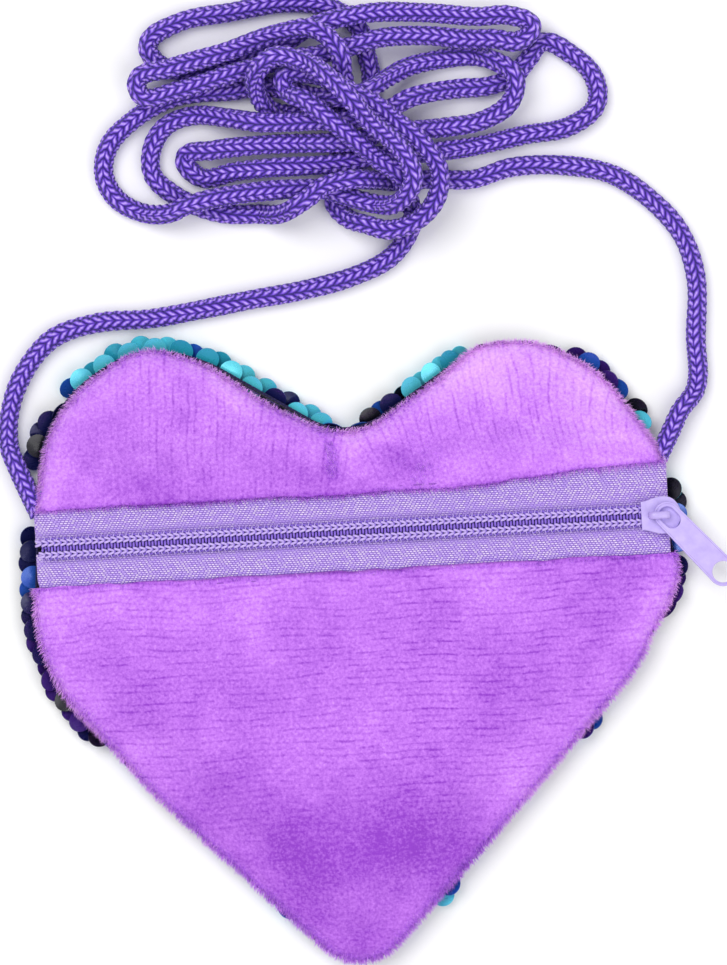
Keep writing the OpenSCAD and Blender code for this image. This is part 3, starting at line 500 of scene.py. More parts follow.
def thread_material(name, dark, light, rough=0.45):
    m = Nodes(name)
    x, y, _ = m.split(m.object())
    lay = m.math("SINE", m.mul(m.add(x, y), 26000))
    h = m.scaled(lay, 0.3, m.noise(1500, 2))
    m.bump(h, 0.00005, 0.7)
    return m.set(Base_Color=m.ramp(h, (0.1, dark), (0.9, light)), Roughness=rough,
                 Sheen_Weight=0.2, Specular_IOR_Level=0.4)


def enamel_material():
    m = Nodes("painted metal")
    n = m.noise(420, 3)
    wear = m.ramp(m.noise(2600, 4, 0.7), (0.62, (0, 0, 0, 1)), (0.8, (1, 1, 1, 1)))
    bevel = m.node("Bevel", samples=6, values={"Radius": 0.0001})
    m.fill(m.bump(n, 0.00003, 0.5), {"Normal": bevel.outputs[0]})
    paint = m.ramp(n, (0.3, srgb(190, 170, 238)), (0.7, srgb(206, 188, 248)))
    return m.set(Base_Color=m.mix(m.mul(wear, 0.25), paint, srgb(160, 140, 214)),
                 Roughness=m.scaled(n, 0.12, 0.30), Specular_IOR_Level=0.5,
                 Coat_Weight=0.25, Coat_Roughness=0.2)


def cloth_material(name, dark, light, cell, rough):
    m = Nodes(name)
    x, y, _ = m.split(m.object())
    wave = lambda c: m.absolute(m.math("SINE", m.mul(c, math.pi / cell)))
    h = m.scaled(m.noise(500, 2), 0.5, m.mul(wave(x), wave(y)))
    m.bump(h, 0.0001, 0.8)
    return m.set(Base_Color=m.ramp(h, (0.1, dark), (0.9, light)), Roughness=rough,
                 Sheen_Weight=0.2, Specular_IOR_Level=0.25)


def film_material():
    """Cupped plastic discs with a metal film: the tint is each disc's own."""
    m = Nodes("sequin film")
    tint = m.attr("tint", True)
    n = m.noise(700, 3)
    c = m.mix(m.mul(n, 0.2), tint, m.mix(0.5, tint, srgb(10, 12, 40)))
    m.bump(m.scaled(m.noise(190, 1), 0.6, n), 0.00006, 0.5)
    return m.set(Base_Color=c, Metallic=0.25, Roughness=m.scaled(n, 0.16, 0.2),
                 Specular_IOR_Level=0.6, Coat_Weight=0.4, Coat_Roughness=0.12)


PLUSH, CORD, TAPE = plush_material(), cord_material(), tape_material()
CHAIN = thread_material("zip chain thread", srgb(180, 150, 236), srgb(222, 202, 255))
WIRE = thread_material("coil filament", srgb(122, 88, 206), srgb(152, 118, 228), 0.3)
SEAM_THREAD = thread_material("seam thread", srgb(128, 60, 178), srgb(176, 100, 220))
DARK_THREAD = thread_material("sequin thread", srgb(24, 18, 60), srgb(60, 44, 120))
ENAMEL, FILM = enamel_material(), film_material()
NAVY_CLOTH = cloth_material("backing cloth", srgb(16, 14, 40), srgb(40, 34, 84), 0.0006, 0.8)
LINING = cloth_material("lining cloth", srgb(116, 62, 168), srgb(164, 108, 214), 0.0004, 0.6)

# ---------------------------------------------------------------- the cord
CORD_D, CORD_RISE, CORD_TURN = 4.2, 4.8, math.radians(3.2)
TAIL_Z, TAIL_L, TAIL_INSET = 3.7515, 7.0, 0.6
# Stations of the cord in layers: x and y as in the photograph, and the layer that it lies in
LEFT_ROUTE = [
    (-74, 19, 0), (-73, 29, 0), (-69, 37, 0), (-64, 42, 0), (-55, 45, 0), (-43, 46, 0),
    (-32, 48, 0), (-22, 50, 0), (-11, 52, 0), (0, 55, 0)]
HANK_ROUTE = [
    (8, 59, 0), (12, 64, 0.1), (13, 68, 0.4), (12, 72, 1), (10, 76.5, 1.9), (5, 80, 2.1),
    (0, 84, 2.9), (-5, 88, 3.2), (-10, 92, 2.8), (-14, 94.5, 2), (-14.5, 97.5, 2), (-10, 98, 2),
    (-5, 96.5, 2.8), (0, 93.5, 3.3), (5, 91, 2.9), (9, 88, 2.5), (14.5, 83.5, 2.5),
    (18.5, 77.5, 2.2), (18, 71.5, 1.9), (14, 66.8, 1.6), (8, 64.8, 1.3), (3, 66, 1),
    (-1, 67.5, 0.3), (-4, 71, 0), (-3.5, 76, 0), (-3, 80, 0), (-2.5, 85, 0.5), (-2, 89, 1),
    (-1, 93, 1), (-2, 98, 1.6), (-3, 103, 2.2), (-8, 107.5, 2), (-15, 107, 1.6), (-27, 103, 1.2),
    (-39, 99.5, 1.1), (-46, 97, 1), (-45, 93.5, 1), (-38, 94.5, 1), (-27, 98, 1), (-20, 100, 1),
    (-13, 101.5, 1), (-7, 102.5, 1), (-1, 104, 1), (6, 106, 1), (16, 106.5, 1), (24, 105.8, 1),
    (30, 105.8, 1.1), (36, 105.5, 1), (38.5, 108.5, 1), (34, 110.8, 1), (27, 110.6, 1),
    (16, 111.4, 1), (5, 111.5, 1), (-4, 110, 1), (-10, 108, 0.7), (-15, 105, 0.3), (-22, 102, 0),
    (-30, 101, 0), (-38, 99.5, 0), (-42, 101, 0), (-44, 105, 0), (-38, 109.5, 0), (-26, 112, 0),
    (-14, 114, 0), (-5, 113, 0), (1, 109, 0), (3, 103, 0), (4, 98, 0), (3, 94, 0), (-2, 91, 0),
    (-8, 90, 0), (-14, 90, 0), (-18, 91, 0.5), (-20.5, 94.5, 1.3), (-20.5, 98, 2.2),
    (-16.5, 101.3, 3), (-10, 100, 3.2), (-5, 96.5, 4), (-1, 92.5, 4.3), (4, 87, 3.6),
    (9, 83, 3.2), (12, 79, 3.2), (13, 75, 3), (10, 70.5, 2.2), (5, 70.4, 1.1), (-1, 72, 1),
    (-6, 73.5, 1), (-12, 73.6, 1), (-22, 72.8, 1), (-32, 71, 1.2), (-36, 69.8, 1.1),
    (-39, 68.5, 0.8), (-46, 69, 0), (-51, 72, 0), (-53.5, 77, 0), (-52.5, 83, 0),
    (-47.5, 88.5, 0), (-40, 93, 0), (-33, 94.6, 0), (-26, 95, 0), (-20, 96, 0), (-14, 95, 0.6),
    (-8, 93.3, 1.2), (-5, 93, 1.8), (-2, 92.8, 2.2), (3, 94.2, 2.1), (7, 97, 1.2),
    (12, 100, 0.4), (20, 102, 0), (26, 102.5, 0), (31, 101, 0.7), (34.8, 97.8, 1.1),
    (34, 92.5, 0.8), (28, 88.5, 0.5), (20, 87, 0.5), (13, 86.2, 1), (6, 85.6, 1.1),
    (0, 83.7, 1.6), (-6, 83.4, 1.4), (-12, 83.4, 1), (-20, 83, 1), (-30, 82, 0.6),
    (-36, 80.5, 0), (-33, 76.5, 0), (-25, 77.5, 0.5), (-17, 78.2, 1), (-9, 78.6, 1),
    (-2, 79.2, 1), (4, 80.4, 1), (8, 81, 1), (14, 81.2, 1), (20, 82, 0.5), (27, 83.2, 0),
    (37, 85.5, 0), (47, 87.5, 0), (52.5, 92, 0), (52, 98, 0), (47, 103, 0), (41, 105.5, 0),
    (38, 102, 0), (34.5, 98, 0), (29, 96, 0), (23, 95.5, 0), (17, 94.5, 0.5), (12, 93, 1),
    (8, 90.7, 1.3), (3, 89, 1.8), (-2, 87.8, 2.1), (-8, 88, 1.8), (-14, 87.8, 1.4),
    (-20, 87.8, 1.3), (-27, 89, 0.6), (-34, 89.7, 0), (-40, 87.5, 0), (-43, 83, 0),
    (-43, 77, 0), (-39, 73, 0), (-33, 70, 0), (-27, 68.5, 0), (-20, 68.5, 0), (-15, 68.4, 1),
    (-10, 71, 2), (-6, 74, 2), (-1, 75.3, 2), (5, 75.5, 1), (10, 75.5, 0.1), (17, 76, 0),
    (26, 76, 0), (34, 78.5, 0), (45, 79, 0)]
RIGHT_ROUTE = [(56, 77, 0), (65, 71, 0), (71, 64, 0), (74, 55, 0), (74, 42, 0), (74, 31, 0)]


def laid(q):
    """A station's place: the photograph's level is turned to the zip's, and layers are heights."""
    c, s = math.cos(CORD_TURN), math.sin(CORD_TURN)
    return [q[0] * c + q[1] * s, q[1] * c - q[0] * s, CORD_D / 2 + q[2] * CORD_RISE]


def crossing(half, y):
    """Where half an outline passes the height y."""
    for a, b in zip(half[:-1], half[1:]):
        if (a[1] - y) * (b[1] - y) <= 0 and a[0] > 0 and a[1] != b[1]:
            return a + (b - a) * (y - a[1]) / (b[1] - a[1])


def tail(y, angle, side, reach):
    """A point of a sewn end, that far out of the seam."""
    p = crossing(HALF - TAIL_INSET * HALF_WAY, y) + reach * unit(angle)
    return [side * p[0], p[1], TAIL_Z]


REACHES = (0, TAIL_L, TAIL_L + CORD_D)
LEFT_END = [tail(LOBE_TOP * 0.18, 68, -1, r) for r in REACHES]
RIGHT_END = [tail(LOBE_TOP * 0.30, 62, 1, r) for r in REACHES[::-1]]
STATIONS = np.array(LEFT_END + [laid(q) for q in LEFT_ROUTE + HANK_ROUTE + RIGHT_ROUTE]
                    + RIGHT_END)


def cord_line(step):
    """The cord's centre, smooth through its stations, at even steps."""
    p = STATIONS
    seg = p[1:] - p[:-1]
    length = np.linalg.norm(seg, axis=1)
    way = seg / length[:, None]
    t = np.concatenate([way[:1], way[1:] + way[:-1], way[-1:]])
    t[1], t[-2] = way[0], way[-1]
    t[2], t[-3] = way[1] + way[2], way[-2] + way[-3]
    t = to_one(t)
    # Heights rise and fall only between stations, so that no strand dips under its layer
    rise = seg[:, 2] / length
    m = np.zeros(len(p))
    for i in range(1, len(p) - 1):
        if rise[i - 1] * rise[i] > 0:
            m[i] = 2 * rise[i - 1] * rise[i] / (rise[i - 1] + rise[i])
    fine = []
    u = np.linspace(0, 1, 33)[:-1, None]
    h = (2 * u**3 - 3 * u**2 + 1, u**3 - 2 * u**2 + u, -2 * u**3 + 3 * u**2, u**3 - u**2)
    for i, n in enumerate(length):
        q = h[0] * p[i] + h[1] * t[i] * n + h[2] * p[i + 1] + h[3] * t[i + 1] * n
        z = h[0] * p[i, 2] + h[1] * m[i] * n + h[2] * p[i + 1, 2] + h[3] * m[i + 1] * n
        q[:, 2] = z[:, 0]
        fine.append(q)
    fine = np.concatenate(fine + [p[-1:]])
    at = lengths_along(fine)
    even = np.linspace(0, at[-1], int(at[-1] / step) + 1)
    return at_lengths(even, at, fine), even


# The braid: columns of stitches round the cord, a stitch's length, the core that they lie on,
# how far they stand out, and the mesh's points round the cord
COLUMNS, STITCH, CORE_R, STITCH_RISE, AROUND = 4, 2.0, 1.76, 0.4, 48


def stitch_height(u, v):
    a = np.abs(2 * (u % 1) - 1)
    q = (v - 1.05 * a) % 1
    w = 0.24 + 0.19 * a
    d = np.clip(1 - (np.abs(q - 0.5) / w) ** 2, 0, 1)
    return np.sqrt(d) * (1 - 0.25 * a**4)


def build_cord():
    line, at = cord_line(0.335)
    ways = to_one(np.gradient(line, axis=0))
    normals = np.empty_like(line)
    n = np.array([0, 0, 1.0])
    for i, w in enumerate(ways):
        n = n - w * (n @ w)
        n /= np.linalg.norm(n)
        normals[i] = n
    sides = np.cross(ways, normals)
    k = np.arange(AROUND)
    twist = at * 0.012 + 0.6 * np.sin(at / 47.0) + 0.4 * np.sin(at / 17.0 + 1)
    ang = (k / AROUND * 2 * math.pi)[None, :] + twist[:, None]
    u = k[None, :] / AROUND * COLUMNS + 0 * at[:, None]
    v = at[:, None] / STITCH + 0 * u
    # A few stitches are pulled a little tighter or looser
    swell = 1 + 0.03 * np.sin(at / 5.3) * np.sin(at / 3.1)
    r = (CORE_R + STITCH_RISE * stitch_height(u, v)) * swell[:, None]
    pts = line[:, None, :] + r[..., None] * (np.cos(ang)[..., None] * normals[:, None, :]
                                             + np.sin(ang)[..., None] * sides[:, None, :])
    pts[..., 2] = np.maximum(pts[..., 2], 0.02)
    rings = len(line)
    caps = np.array([k[::-1], (rings - 1) * AROUND + k])
    # Texture places for each corner: the stitches, and ten stacked rows for baking
    i, j = (g.ravel() for g in np.meshgrid(np.arange(rings - 1), k, indexing="ij"))
    cj = np.stack([j, j + 1, j + 1, j], 1)
    ci = np.stack([i, i, i + 1, i + 1], 1)
    braid = np.stack([cj / AROUND * COLUMNS, at[ci] / STITCH], -1).reshape(-1, 2)
    rows = 10
    per = math.ceil((rings - 1) / rows)
    row = i // per
    bake = np.stack([(ci - (row * per)[:, None]) / per * 0.998 + 0.001,
                     (row[:, None] + 0.03 + 0.94 * cj / AROUND) / rows], -1).reshape(-1, 2)
    both = np.tile(k, 2)
    cap_bake = np.stack([np.cos(both), np.sin(both)], 1) * 0.0004 + [0.0005, 0.0005]
    ob = make("cord", pts, [grid_faces(rings, AROUND, wrap=True), caps], CORD,
              replaces=("left_cord_tail", "left_cord_run", "cord_hank", "right_cord_run",
                        "right_cord_tail"),
              uvs=(("braid", np.concatenate([braid, np.full((2 * AROUND, 2), 0.5)])),
                   ("OFBake", np.concatenate([bake, cap_bake]))))


build_cord()


# ---------------------------------------------------------------- floor, light and background
def stage():
    floor = bpy.data.meshes.new("floor")
    floor.from_pydata([(-3, -3, 0), (3, -3, 0), (3, 3, 0), (-3, 3, 0)], [], [(0, 1, 2, 3)])
    m = Nodes("pale floor")
    floor.materials.append(m.set(Base_Color=m.white_seen((0.88, 0.88, 0.89, 1)), Roughness=0.9,
                                 Specular_IOR_Level=0.1))
    link("floor", floor)
    for name, place, size, power in (("key", (-0.45, 0.5, 1.25), 0.9, 10.0),
                                     ("fill", (0.6, -0.5, 1.2), 1.2, 8.0)):
        lamp = bpy.data.lights.new(name, "AREA")
        lamp.shape, lamp.size, lamp.energy = "SQUARE", size, power
        lo = link(name, lamp)
        lo.location = place
        aim = Vector((0, 0.04, 0)) - Vector(place)
        lo.rotation_euler = aim.to_track_quat("-Z", "Y").to_euler()
    m = Nodes("studio", world=True)
    bpy.context.scene.world = m.set(Color=m.white_seen((0.46, 0.46, 0.47, 1)), Strength=1)


stage()
bpy.context.scene.view_settings.view_transform = "Standard"


# ---------------------------------------------------------------- the plush back
def resample(line, step, is_closed=False):
    """A line with its points at even steps."""
    line = np.asarray(line, float)
    if is_closed:
        line = closed(line)
    at = lengths_along(line)
    n = max(2, int(round(at[-1] / step)))
    out = at_lengths(np.linspace(0, at[-1], n + 1), at, line)
    return out[:-1] if is_closed else out


def half_border(inset, y, upper):
    """The outline above or below the height y, from right to left."""
    half = HALF - inset * HALF_WAY
    rest = half[half[:, 1] > y + 0.05][::-1] if upper else half[half[:, 1] < y - 0.05]
    half = np.concatenate([crossing(half, y)[None], rest])
    return np.concatenate([half, (half * FLIP)[-2::-1]])


def mouth_line(border, y):
    """Points of the straight mouth, one for each of the border's."""
    at = lengths_along(border)
    x = (border[0, 0] - RIM_R) * (1 - 2 * at / at[-1])
    return np.stack([x, np.full(len(at), y)], 1)


def under(p):
    """The height of the panels' lower face, and the points' depth."""
    d = depth(p)
    return SEAM_Z + SHOULDER_RISE * bulge(d / RIM_R) + crown(p, d), d


def shell(grid, top_z, low_z, side_bulge, up):
    """A closed cloth from a grid, its heights above and below, and how its sides bulge."""
    m, n = grid.shape[0], grid.shape[1]
    top = with_z(grid.reshape(-1, 2), top_z)
    low = with_z(grid.reshape(-1, 2), low_z)
    loop = np.concatenate([np.arange(n), np.arange(1, m) * n + n - 1,
                           (m - 1) * n + np.arange(n - 2, -1, -1), np.arange(m - 2, 0, -1) * n])
    a, b = top[loop], low[loop]
    way = to_one(np.roll(a, -1, 0)[:, :2] - np.roll(a, 1, 0)[:, :2], 1e-9)
    out = np.stack([-way[:, 1], way[:, 0]], 1) * (1 if up else -1)
    rings = []
    for s in (0.2, 0.5, 0.8):
        q = a * (1 - s) + b * s
        q[:, :2] += out * side_bulge * math.sin(math.pi * s)
        rings.append(q)
    faces = [grid_faces(m, n), grid_faces(m, n)[:, ::-1] + m * n]
    k = len(loop)
    levels = [loop] + [2 * m * n + r * k + np.arange(k) for r in range(3)] + [loop + m * n]
    for p, q in zip(levels[:-1], levels[1:]):
        faces.append(np.stack([p, q, np.roll(q, -1), np.roll(p, -1)], 1))
    faces = np.concatenate(faces)
    return np.concatenate([top, low] + rings), faces[:, ::-1] if up else faces


def ribs(p, upper):
    """The lines of painted shade where the pile parts: which one a point is by, how far along it,
    and how strong its shade is.
    """
    x, y = p[:, 0], p[:, 1]
    if upper:
        fan = np.where(x > 0, (x - 42) * (y - 12) * -0.010, (x + 42) * (y - 12) * -0.006)
        across = x + fan + 1.2 * smooth_noise(x, y, 10, 21) + 0.35 * smooth_noise(x, y, 3.1, 23)
        w = smooth((x + 66) / 30) * (0.4 + 0.6 * smooth_noise(x, y, 13, 9)) \
            * (0.5 + 0.5 * smooth((y - 14) / 10))
        return across / 1.5, y / 4.5, w
    across = y + 1.6 * smooth_noise(x, y, 17, 22) + 0.35 * smooth_noise(x, y, 3.2, 24)
    w = (1 - 0.7 * smooth((-y - 40) / 34)) * (0.5 + 0.5 * smooth_noise(x, y, 15, 10))
    return across / 1.42, x / 4.5, w


# Where the fold below the notch runs down the upper panel
FOLD_X = -3.5


def shade_of(p, upper):
    """The pile's light and dark, from 0 to 1, at points of the back, with painted sheen towards the
    outline and painted shade in the folds and along the mouth.
    """
    x, y = p[:, 0], p[:, 1]
    soft = smooth_noise(x, y, 11, 3) * 0.55 + smooth_noise(x, y, 4.3, 4) * 0.45
    d = depth(p)
    level, blotch, pale = (0.47, 0.36, 0.2) if upper else (0.53, 0.28, 0.07)
    # Painted sheen: the pile grows paler towards the outline, and palest right at its edge
    s = level + blotch * (soft - 0.5) + pale * (1 - smooth(d / 13)) + 0.2 * (1 - smooth(d / 1.8))
    if upper:
        # Painted shade in the fold below the notch, and in a diagonal crease to its right
        s -= 0.22 * ridge(x, FOLD_X, 2.2) * smooth((y - 9) / 4)
        s -= 0.12 * ridge(x - 10 + 1.1 * (y - 17), 0, 3.0) * smooth((y - 10) / 4) \
            * smooth((22 - y) / 4)
        s -= 0.12 * smooth_noise(x, y, 9, 31) * smooth((19 - y) / 9)
        s += 0.16 * smooth(x / 35)
    else:
        s -= 0.16 * smooth_noise(x, y, 17, 30) * smooth((40 + x * 0.2 - np.abs(y + 42)) / 20)
        s -= 0.26 * smooth((-y - 48) / 30)
    # Painted shade along the folded edge at the mouth
    return s - 0.16 * ridge(np.abs(y), MOUTH, 0.8)


def dents(p, upper):
    """How far the cloth's face sinks or swells, in millimetres."""
    x, y = p[:, 0], p[:, 1]
    d = 0.55 * (smooth_noise(x, y, 13, 41) - 0.5) + 0.30 * (smooth_noise(x, y, 5, 42) - 0.5)
    if upper:
        fold = x - FOLD_X
        reach = smooth((y - 8.5) / 5)
        d -= reach * 0.9 * ridge(fold, 0, 2.2)
        d += reach * 0.55 * (ridge(fold, 4.2, 2.6) + ridge(fold, -4.2, 2.6))
        d += 0.4 * mound(x, y, (-14, 12), 5, 4) - 0.4 * mound(x, y, (17, 13), 4, 5)
    return d


def plush_attrs(points, tone, upper):
    across, along, deep = ribs(points[:, :2], upper)
    return (("shade", np.clip(tone, 0, 1)), ("across", across), ("along", along), ("ribs", deep))


def normals_of(v):
    """The area and the normal of faces with four corners."""
    normal = np.cross(v[:, 2] - v[:, 0], v[:, 3] - v[:, 1])
    area = np.linalg.norm(normal, axis=1)
    return area, normal / (area[:, None] + 1e-12)


def pile(name, verts, faces, count, upper, seed, keep):
    """Short fibres all over a cloth's face, bent the way that the pile lies."""
    r = np.random.default_rng(seed)
    v = verts[faces]
    a, b = v[:, 1] - v[:, 0], v[:, 3] - v[:, 0]
    area, normal = normals_of(v)
    weight = area * keep
    pick = r.choice(len(faces), count, p=weight / weight.sum())
    u, w = r.random((2, count, 1))
    root = v[pick, 0] + a[pick] * u + b[pick] * w
    n = normal[pick]
    x, y = root[:, 0], root[:, 1]
    swirl = (smooth_noise(x, y, 6, seed + 1) - 0.5) * 2.4 \
        + (smooth_noise(x, y, 1.8, seed + 2) - 0.5) * 1.6
    angle = np.radians(-90 if upper else -80) + swirl * 0.55 + r.normal(0, 0.45, count)
    nap = np.stack([np.cos(angle), np.sin(angle), np.zeros(count)], 1)
    # At the rim the fibres stand up, and elsewhere they lie over
    rim = (1 - smooth(depth(root[:, :2]) / 3.5))[:, None]
    way = to_one(n + nap * (1.25 - 0.75 * rim) + r.normal(0, 0.28, (count, 3)))
    length = (1.0 + 0.7 * r.random(count))[:, None] * (1 + 0.1 * rim)
    mid = root + (way * 0.55 + n * 0.18) * length * 0.75
    tip = root + way * length + nap * 0.12 * length
    side = to_one(np.cross(way, n + r.normal(0, 0.6, (count, 3))), 1e-9)
    wide = side * (0.06 + 0.045 * r.random(count))[:, None]
    root = root - n * 0.25
    pts = np.stack([root - wide, root + wide, mid + wide * 0.8, mid - wide * 0.8, tip],
                   1).reshape(-1, 3)
    k = np.arange(count)[:, None] * 5
    tone = shade_of(root[:, :2], upper) + r.normal(0, 0.13, count)
    # Painted shade at each fibre's root and painted light at its tip
    tone = (tone[:, None] + [-0.14, -0.14, 0.02, 0.02, 0.14]).ravel()
    return make(name, pts, [k + [0, 1, 2, 3], k + [3, 2, 4]], PLUSH, field="plush",
                attrs=plush_attrs(pts, tone, upper),
                uvs=(("OFBake", (pts[:, :2] - [-80, -100]) / 200),))


def panel(name, upper, rows, piles):
    """A panel of the back with its pile; piles are (name's end, side, count of fibres, seed)."""
    y = MOUTH if upper else -MOUTH
    border = resample(half_border(0, y, upper), 0.62)
    t = (np.arange(rows + 1) / rows)[:, None, None] ** 1.35
    grid = border[None] * (1 - t) + mouth_line(border, y)[None] * t
    p = grid.reshape(-1, 2).copy()
    low, d = under(p)
    rise = 0.4 + 0.8 * bulge(d / 3.2) + dents(p, upper) * smooth(d / 4) \
        + 0.2 * (smooth_noise(p[:, 0], p[:, 1], 1.1, 5) - 0.5)
    # The edge at the mouth is folded under, and runs in small waves
    mouth = ridge(p[:, 1], y, 1.1)
    rise = rise - 0.35 * mouth
    wave = 0.38 * (smooth_noise(p[:, 0], 0 * p[:, 0], 4.5, 60 + upper) - 0.5) \
        + 0.22 * (smooth_noise(p[:, 0], 0 * p[:, 0], 1.6, 62 + upper) - 0.5)
    p[:, 1] += np.where(d > 1.5, wave * mouth, 0)
    top = low + np.maximum(rise, 0.3)
    verts, faces = shell(p.reshape(grid.shape), top, low + 0.02, 0.28, upper)
    # The cloth under the fibres is painted a little darker, as shade beneath the pile
    ob = make(name, verts, [faces], PLUSH,
              replaces=(name.replace("plush", "plush_panel"),), field="plush",
              attrs=plush_attrs(verts, shade_of(verts[:, :2], upper) - 0.1, upper))
    v = verts[faces]
    middle = v.mean(1)
    # Fibres cover what looks up or out, thicker near the outline
    keep = np.where(normals_of(v)[1][:, 2] > -0.25, 1.0, 0.0) \
        * (1 + 1.3 * (1 - smooth(depth(middle[:, :2]) / 3)))
    return ob, [pile(name + end, verts, faces, count, upper, seed,
                     keep * (side * middle[:, 0] > 0) if side else keep)
                for end, side, count, seed in piles]


UPPER, UPPER_PILE = panel("upper_plush", True, 84, [("_pile", 0, 62000, 100)])
LOWER, LOWER_PILE = panel("lower_plush", False, 100, [("_pile_left", -1, 47000, 200),
                                                      ("_pile_right", 1, 47000, 300)])

# ---------------------------------------------------------------- zip: tapes, coils, stitches
TAPE_TOP, TAPE_T, TAPE_END = 6.4015, 0.4, 68
COIL_LOW, COIL_HIGH, COIL_OUT, COIL_IN = 6.7215, 7.6815, 2.13, 0.351
PITCH, COIL_TURNS, COIL_L = 1.35, 98, 133.0


def zip_tape(name, s):
    """A tape with small waves, its inner edge under the coil, its end corners rounded."""
    xs = np.linspace(-TAPE_END, TAPE_END, 334)
    ys = np.concatenate([np.linspace(1.1, 2.6, 6), np.linspace(2.9, TAPE_EDGE, 30)])
    x, y = np.meshgrid(xs, ys, indexing="ij")
    top = TAPE_TOP + 0.10 * np.sin(x / 5.1 + s) * smooth((y - 3) / 4) \
        + 0.30 * (smooth_noise(x, y, 7, 70 + s) - 0.5) * smooth((y - 2.5) / 3)
    # A woven channel beside the coil
    top -= 0.16 * ridge(y, 2.75, 0.35)
    # The ends curl over the edge of the purse
    d = depth(np.stack([x.ravel(), (s * y).ravel()], 1)).reshape(x.shape)
    drop = (1 - bulge(np.clip(d, 0, 3) / 3)) * 1.1
    # A rounded corner at the left end
    reach = np.where(y > 6.2, (y - 6.2) ** 2 / 9.0, 0)
    px = np.where(x < -66.5, x + np.minimum(reach, 1.6) * (-66.5 - x) / 1.5, x)
    # Under the panel the tape stays flat
    top = np.where(y > 8.6, np.minimum(top, TAPE_TOP - 0.02), top) - drop
    verts, faces = shell(np.stack([px, s * y], -1), top, top - TAPE_T, 0.06, s > 0)
    return make(name, verts, [faces[:, ::-1]], TAPE, replaces=(name,))


def stacked(x, y, z):
    return np.stack(np.broadcast_arrays(x, y, z), -1)


def coil(name, s, start):
    """The filament's way: out over the top, round the head, and back beneath to the next turn."""
    k = np.arange(COIL_TURNS)[:, None]
    middle, half = (COIL_HIGH + COIL_LOW) / 2, (COIL_HIGH - COIL_LOW) / 2
    head = np.linspace(90, 270, 9) * math.pi / 180
    back = np.linspace(-90, 90, 7)[1:-1] * math.pi / 180
    x = start + k * PITCH + np.concatenate([0 * head, PITCH * (np.sin(back) + 1) / 2])
    y = np.concatenate([-COIL_IN + 0.3 + 0.34 * np.cos(head),
                        COIL_OUT - 0.3 + 0.34 * np.cos(back)])
    z = middle + half * np.sin(np.concatenate([head, back]))
    threads(name, stacked(x, s * y, z).reshape(1, -1, 3), 0.25, WIRE, "zip_coil", sides=8,
            up=(1, 0, 0.02))


def chain_row(name, s, start):
    """Chain stitches over one coil: two slanting threads for each turn, and one down its side."""
    x0 = (start + (np.arange(COIL_TURNS) - 1) * PITCH)[:, None]
    t = np.linspace(0, 1, 6)[None]
    bow = 0.527 * (1 - t) ** 0.7 + 0.05
    z = COIL_HIGH + 0.10 + 0.15 * np.sin(math.pi * (0.25 + 0.7 * t))
    slants = np.concatenate([stacked(x0 - 0.15 + 1.32 * t, s * (1.27 + side * bow), z)
                             for side in (-1, 1)])
    r = 0.25 * (0.72 + 0.42 * np.sin(math.pi * (0.12 + 0.8 * t))) * np.ones((len(slants), 1))
    v, q, c = tube(slants, r, flat=0.7)
    # The threads that go down over the coil's outer bend to the tape
    z = COIL_HIGH + 0.14 - 1.1 * (1 - np.cos(t * math.pi / 2))
    down = stacked(x0 + 0.45 + 0.25 * t, s * (1.9 + 0.62 * np.sin(t * math.pi / 2)), z)
    v2, q2, c2 = tube(down, 0.2, sides=5, flat=0.6, up=(1, 0, 0.3), start=len(v))
    make(name, np.concatenate([v, v2]), [np.concatenate([q, q2]), c, c2], CHAIN,
         replaces=(name,))


def seam_row(name, s):
    """The stitches of the panel's edge, sunk in the pile."""
    n, pitch, along = 33, 3.6, np.linspace(-1, 1, 7)[None]
    x = ((np.arange(n) + 0.5 - n / 2) * pitch)[:, None] + 1.3 * along
    y = np.full_like(x, s * 9.4)
    p = np.stack([x.ravel(), y.ravel()], 1)
    z = under(p)[0].reshape(x.shape) + 0.75 - 0.5 * np.abs(along) ** 3
    threads(name, stacked(x, y, z), 0.17, SEAM_THREAD, field="plush")


TAPES = []
for s, side in ((1, "upper"), (-1, "lower")):
    TAPES.append(zip_tape(side + "_zip_tape", s))
    start = -COIL_L / 2 + (0 if s > 0 else PITCH / 2)
    coil(side + "_coil", s, start)
    chain_row(side + "_coil_stitching", s, start)
    seam_row(side + "_tape_seam", s)

# ---------------------------------------------------------------- slider and pull tab
SLIDER_X, SLIDER_L = 66.3, 8.6
# Half the slider's outline, from its straight rear end to its nose
SLIDER_SIDE = [(-4.3, 3.1), (-3.7, 3.0), (-2.6, 3.35), (-1.2, 3.85), (0.4, 4.05), (1.9, 3.85),
               (3.0, 3.1), (3.8, 1.9), (4.25, 0.6)]
# The top and bottom plates, the rails beside the chain and the post between the plates
TOP_PLATE, LOW_PLATE, RAILS_Z, POST_Z = (8.1515, 8.8515), (5.0515, 5.7515), (6.61, 8.3), (5.3, 8.4)
RAIL = [(62.3, 2.85), (67.2, 2.85), (67.2, 3.75), (64.0, 3.5), (62.3, 3.0)]
POST = [(68.0, -0.85), (70.2, -0.85), (70.2, 0.85), (68.0, 0.85)]
# The line that the tab turns about, the bar over it, and the places of the bar's two legs
PIVOT_X, PIVOT_Z = SLIDER_X - 0.13 * SLIDER_L, TOP_PLATE[1] + 0.8
BAR_Z, BAR_R, BAR_BEND, BAR_FOOT_Z = PIVOT_Z + 1.75, 0.62, 0.9, 8.6
BAR_LEFT, BAR_RIGHT = PIVOT_X - 1.315, PIVOT_X + 2.55
# The tab's length, way and height, its round ends, and the hole round the bar and the eye in it
TAB_L, TAB_WAY, TAB_LOW, TAB_T = 23, unit(-48.7), PIVOT_Z - 0.5, 0.86
TAB_R, TAB_END_R, RING_HOLE_R, RING_HOLE_SPAN, EYE_R = 2.8, 3.1, 1.75, 1.6, 2.3
RING_X, TAB_SPAN = (TAB_R + RING_HOLE_R) / 2, TAB_L - TAB_R - TAB_END_R


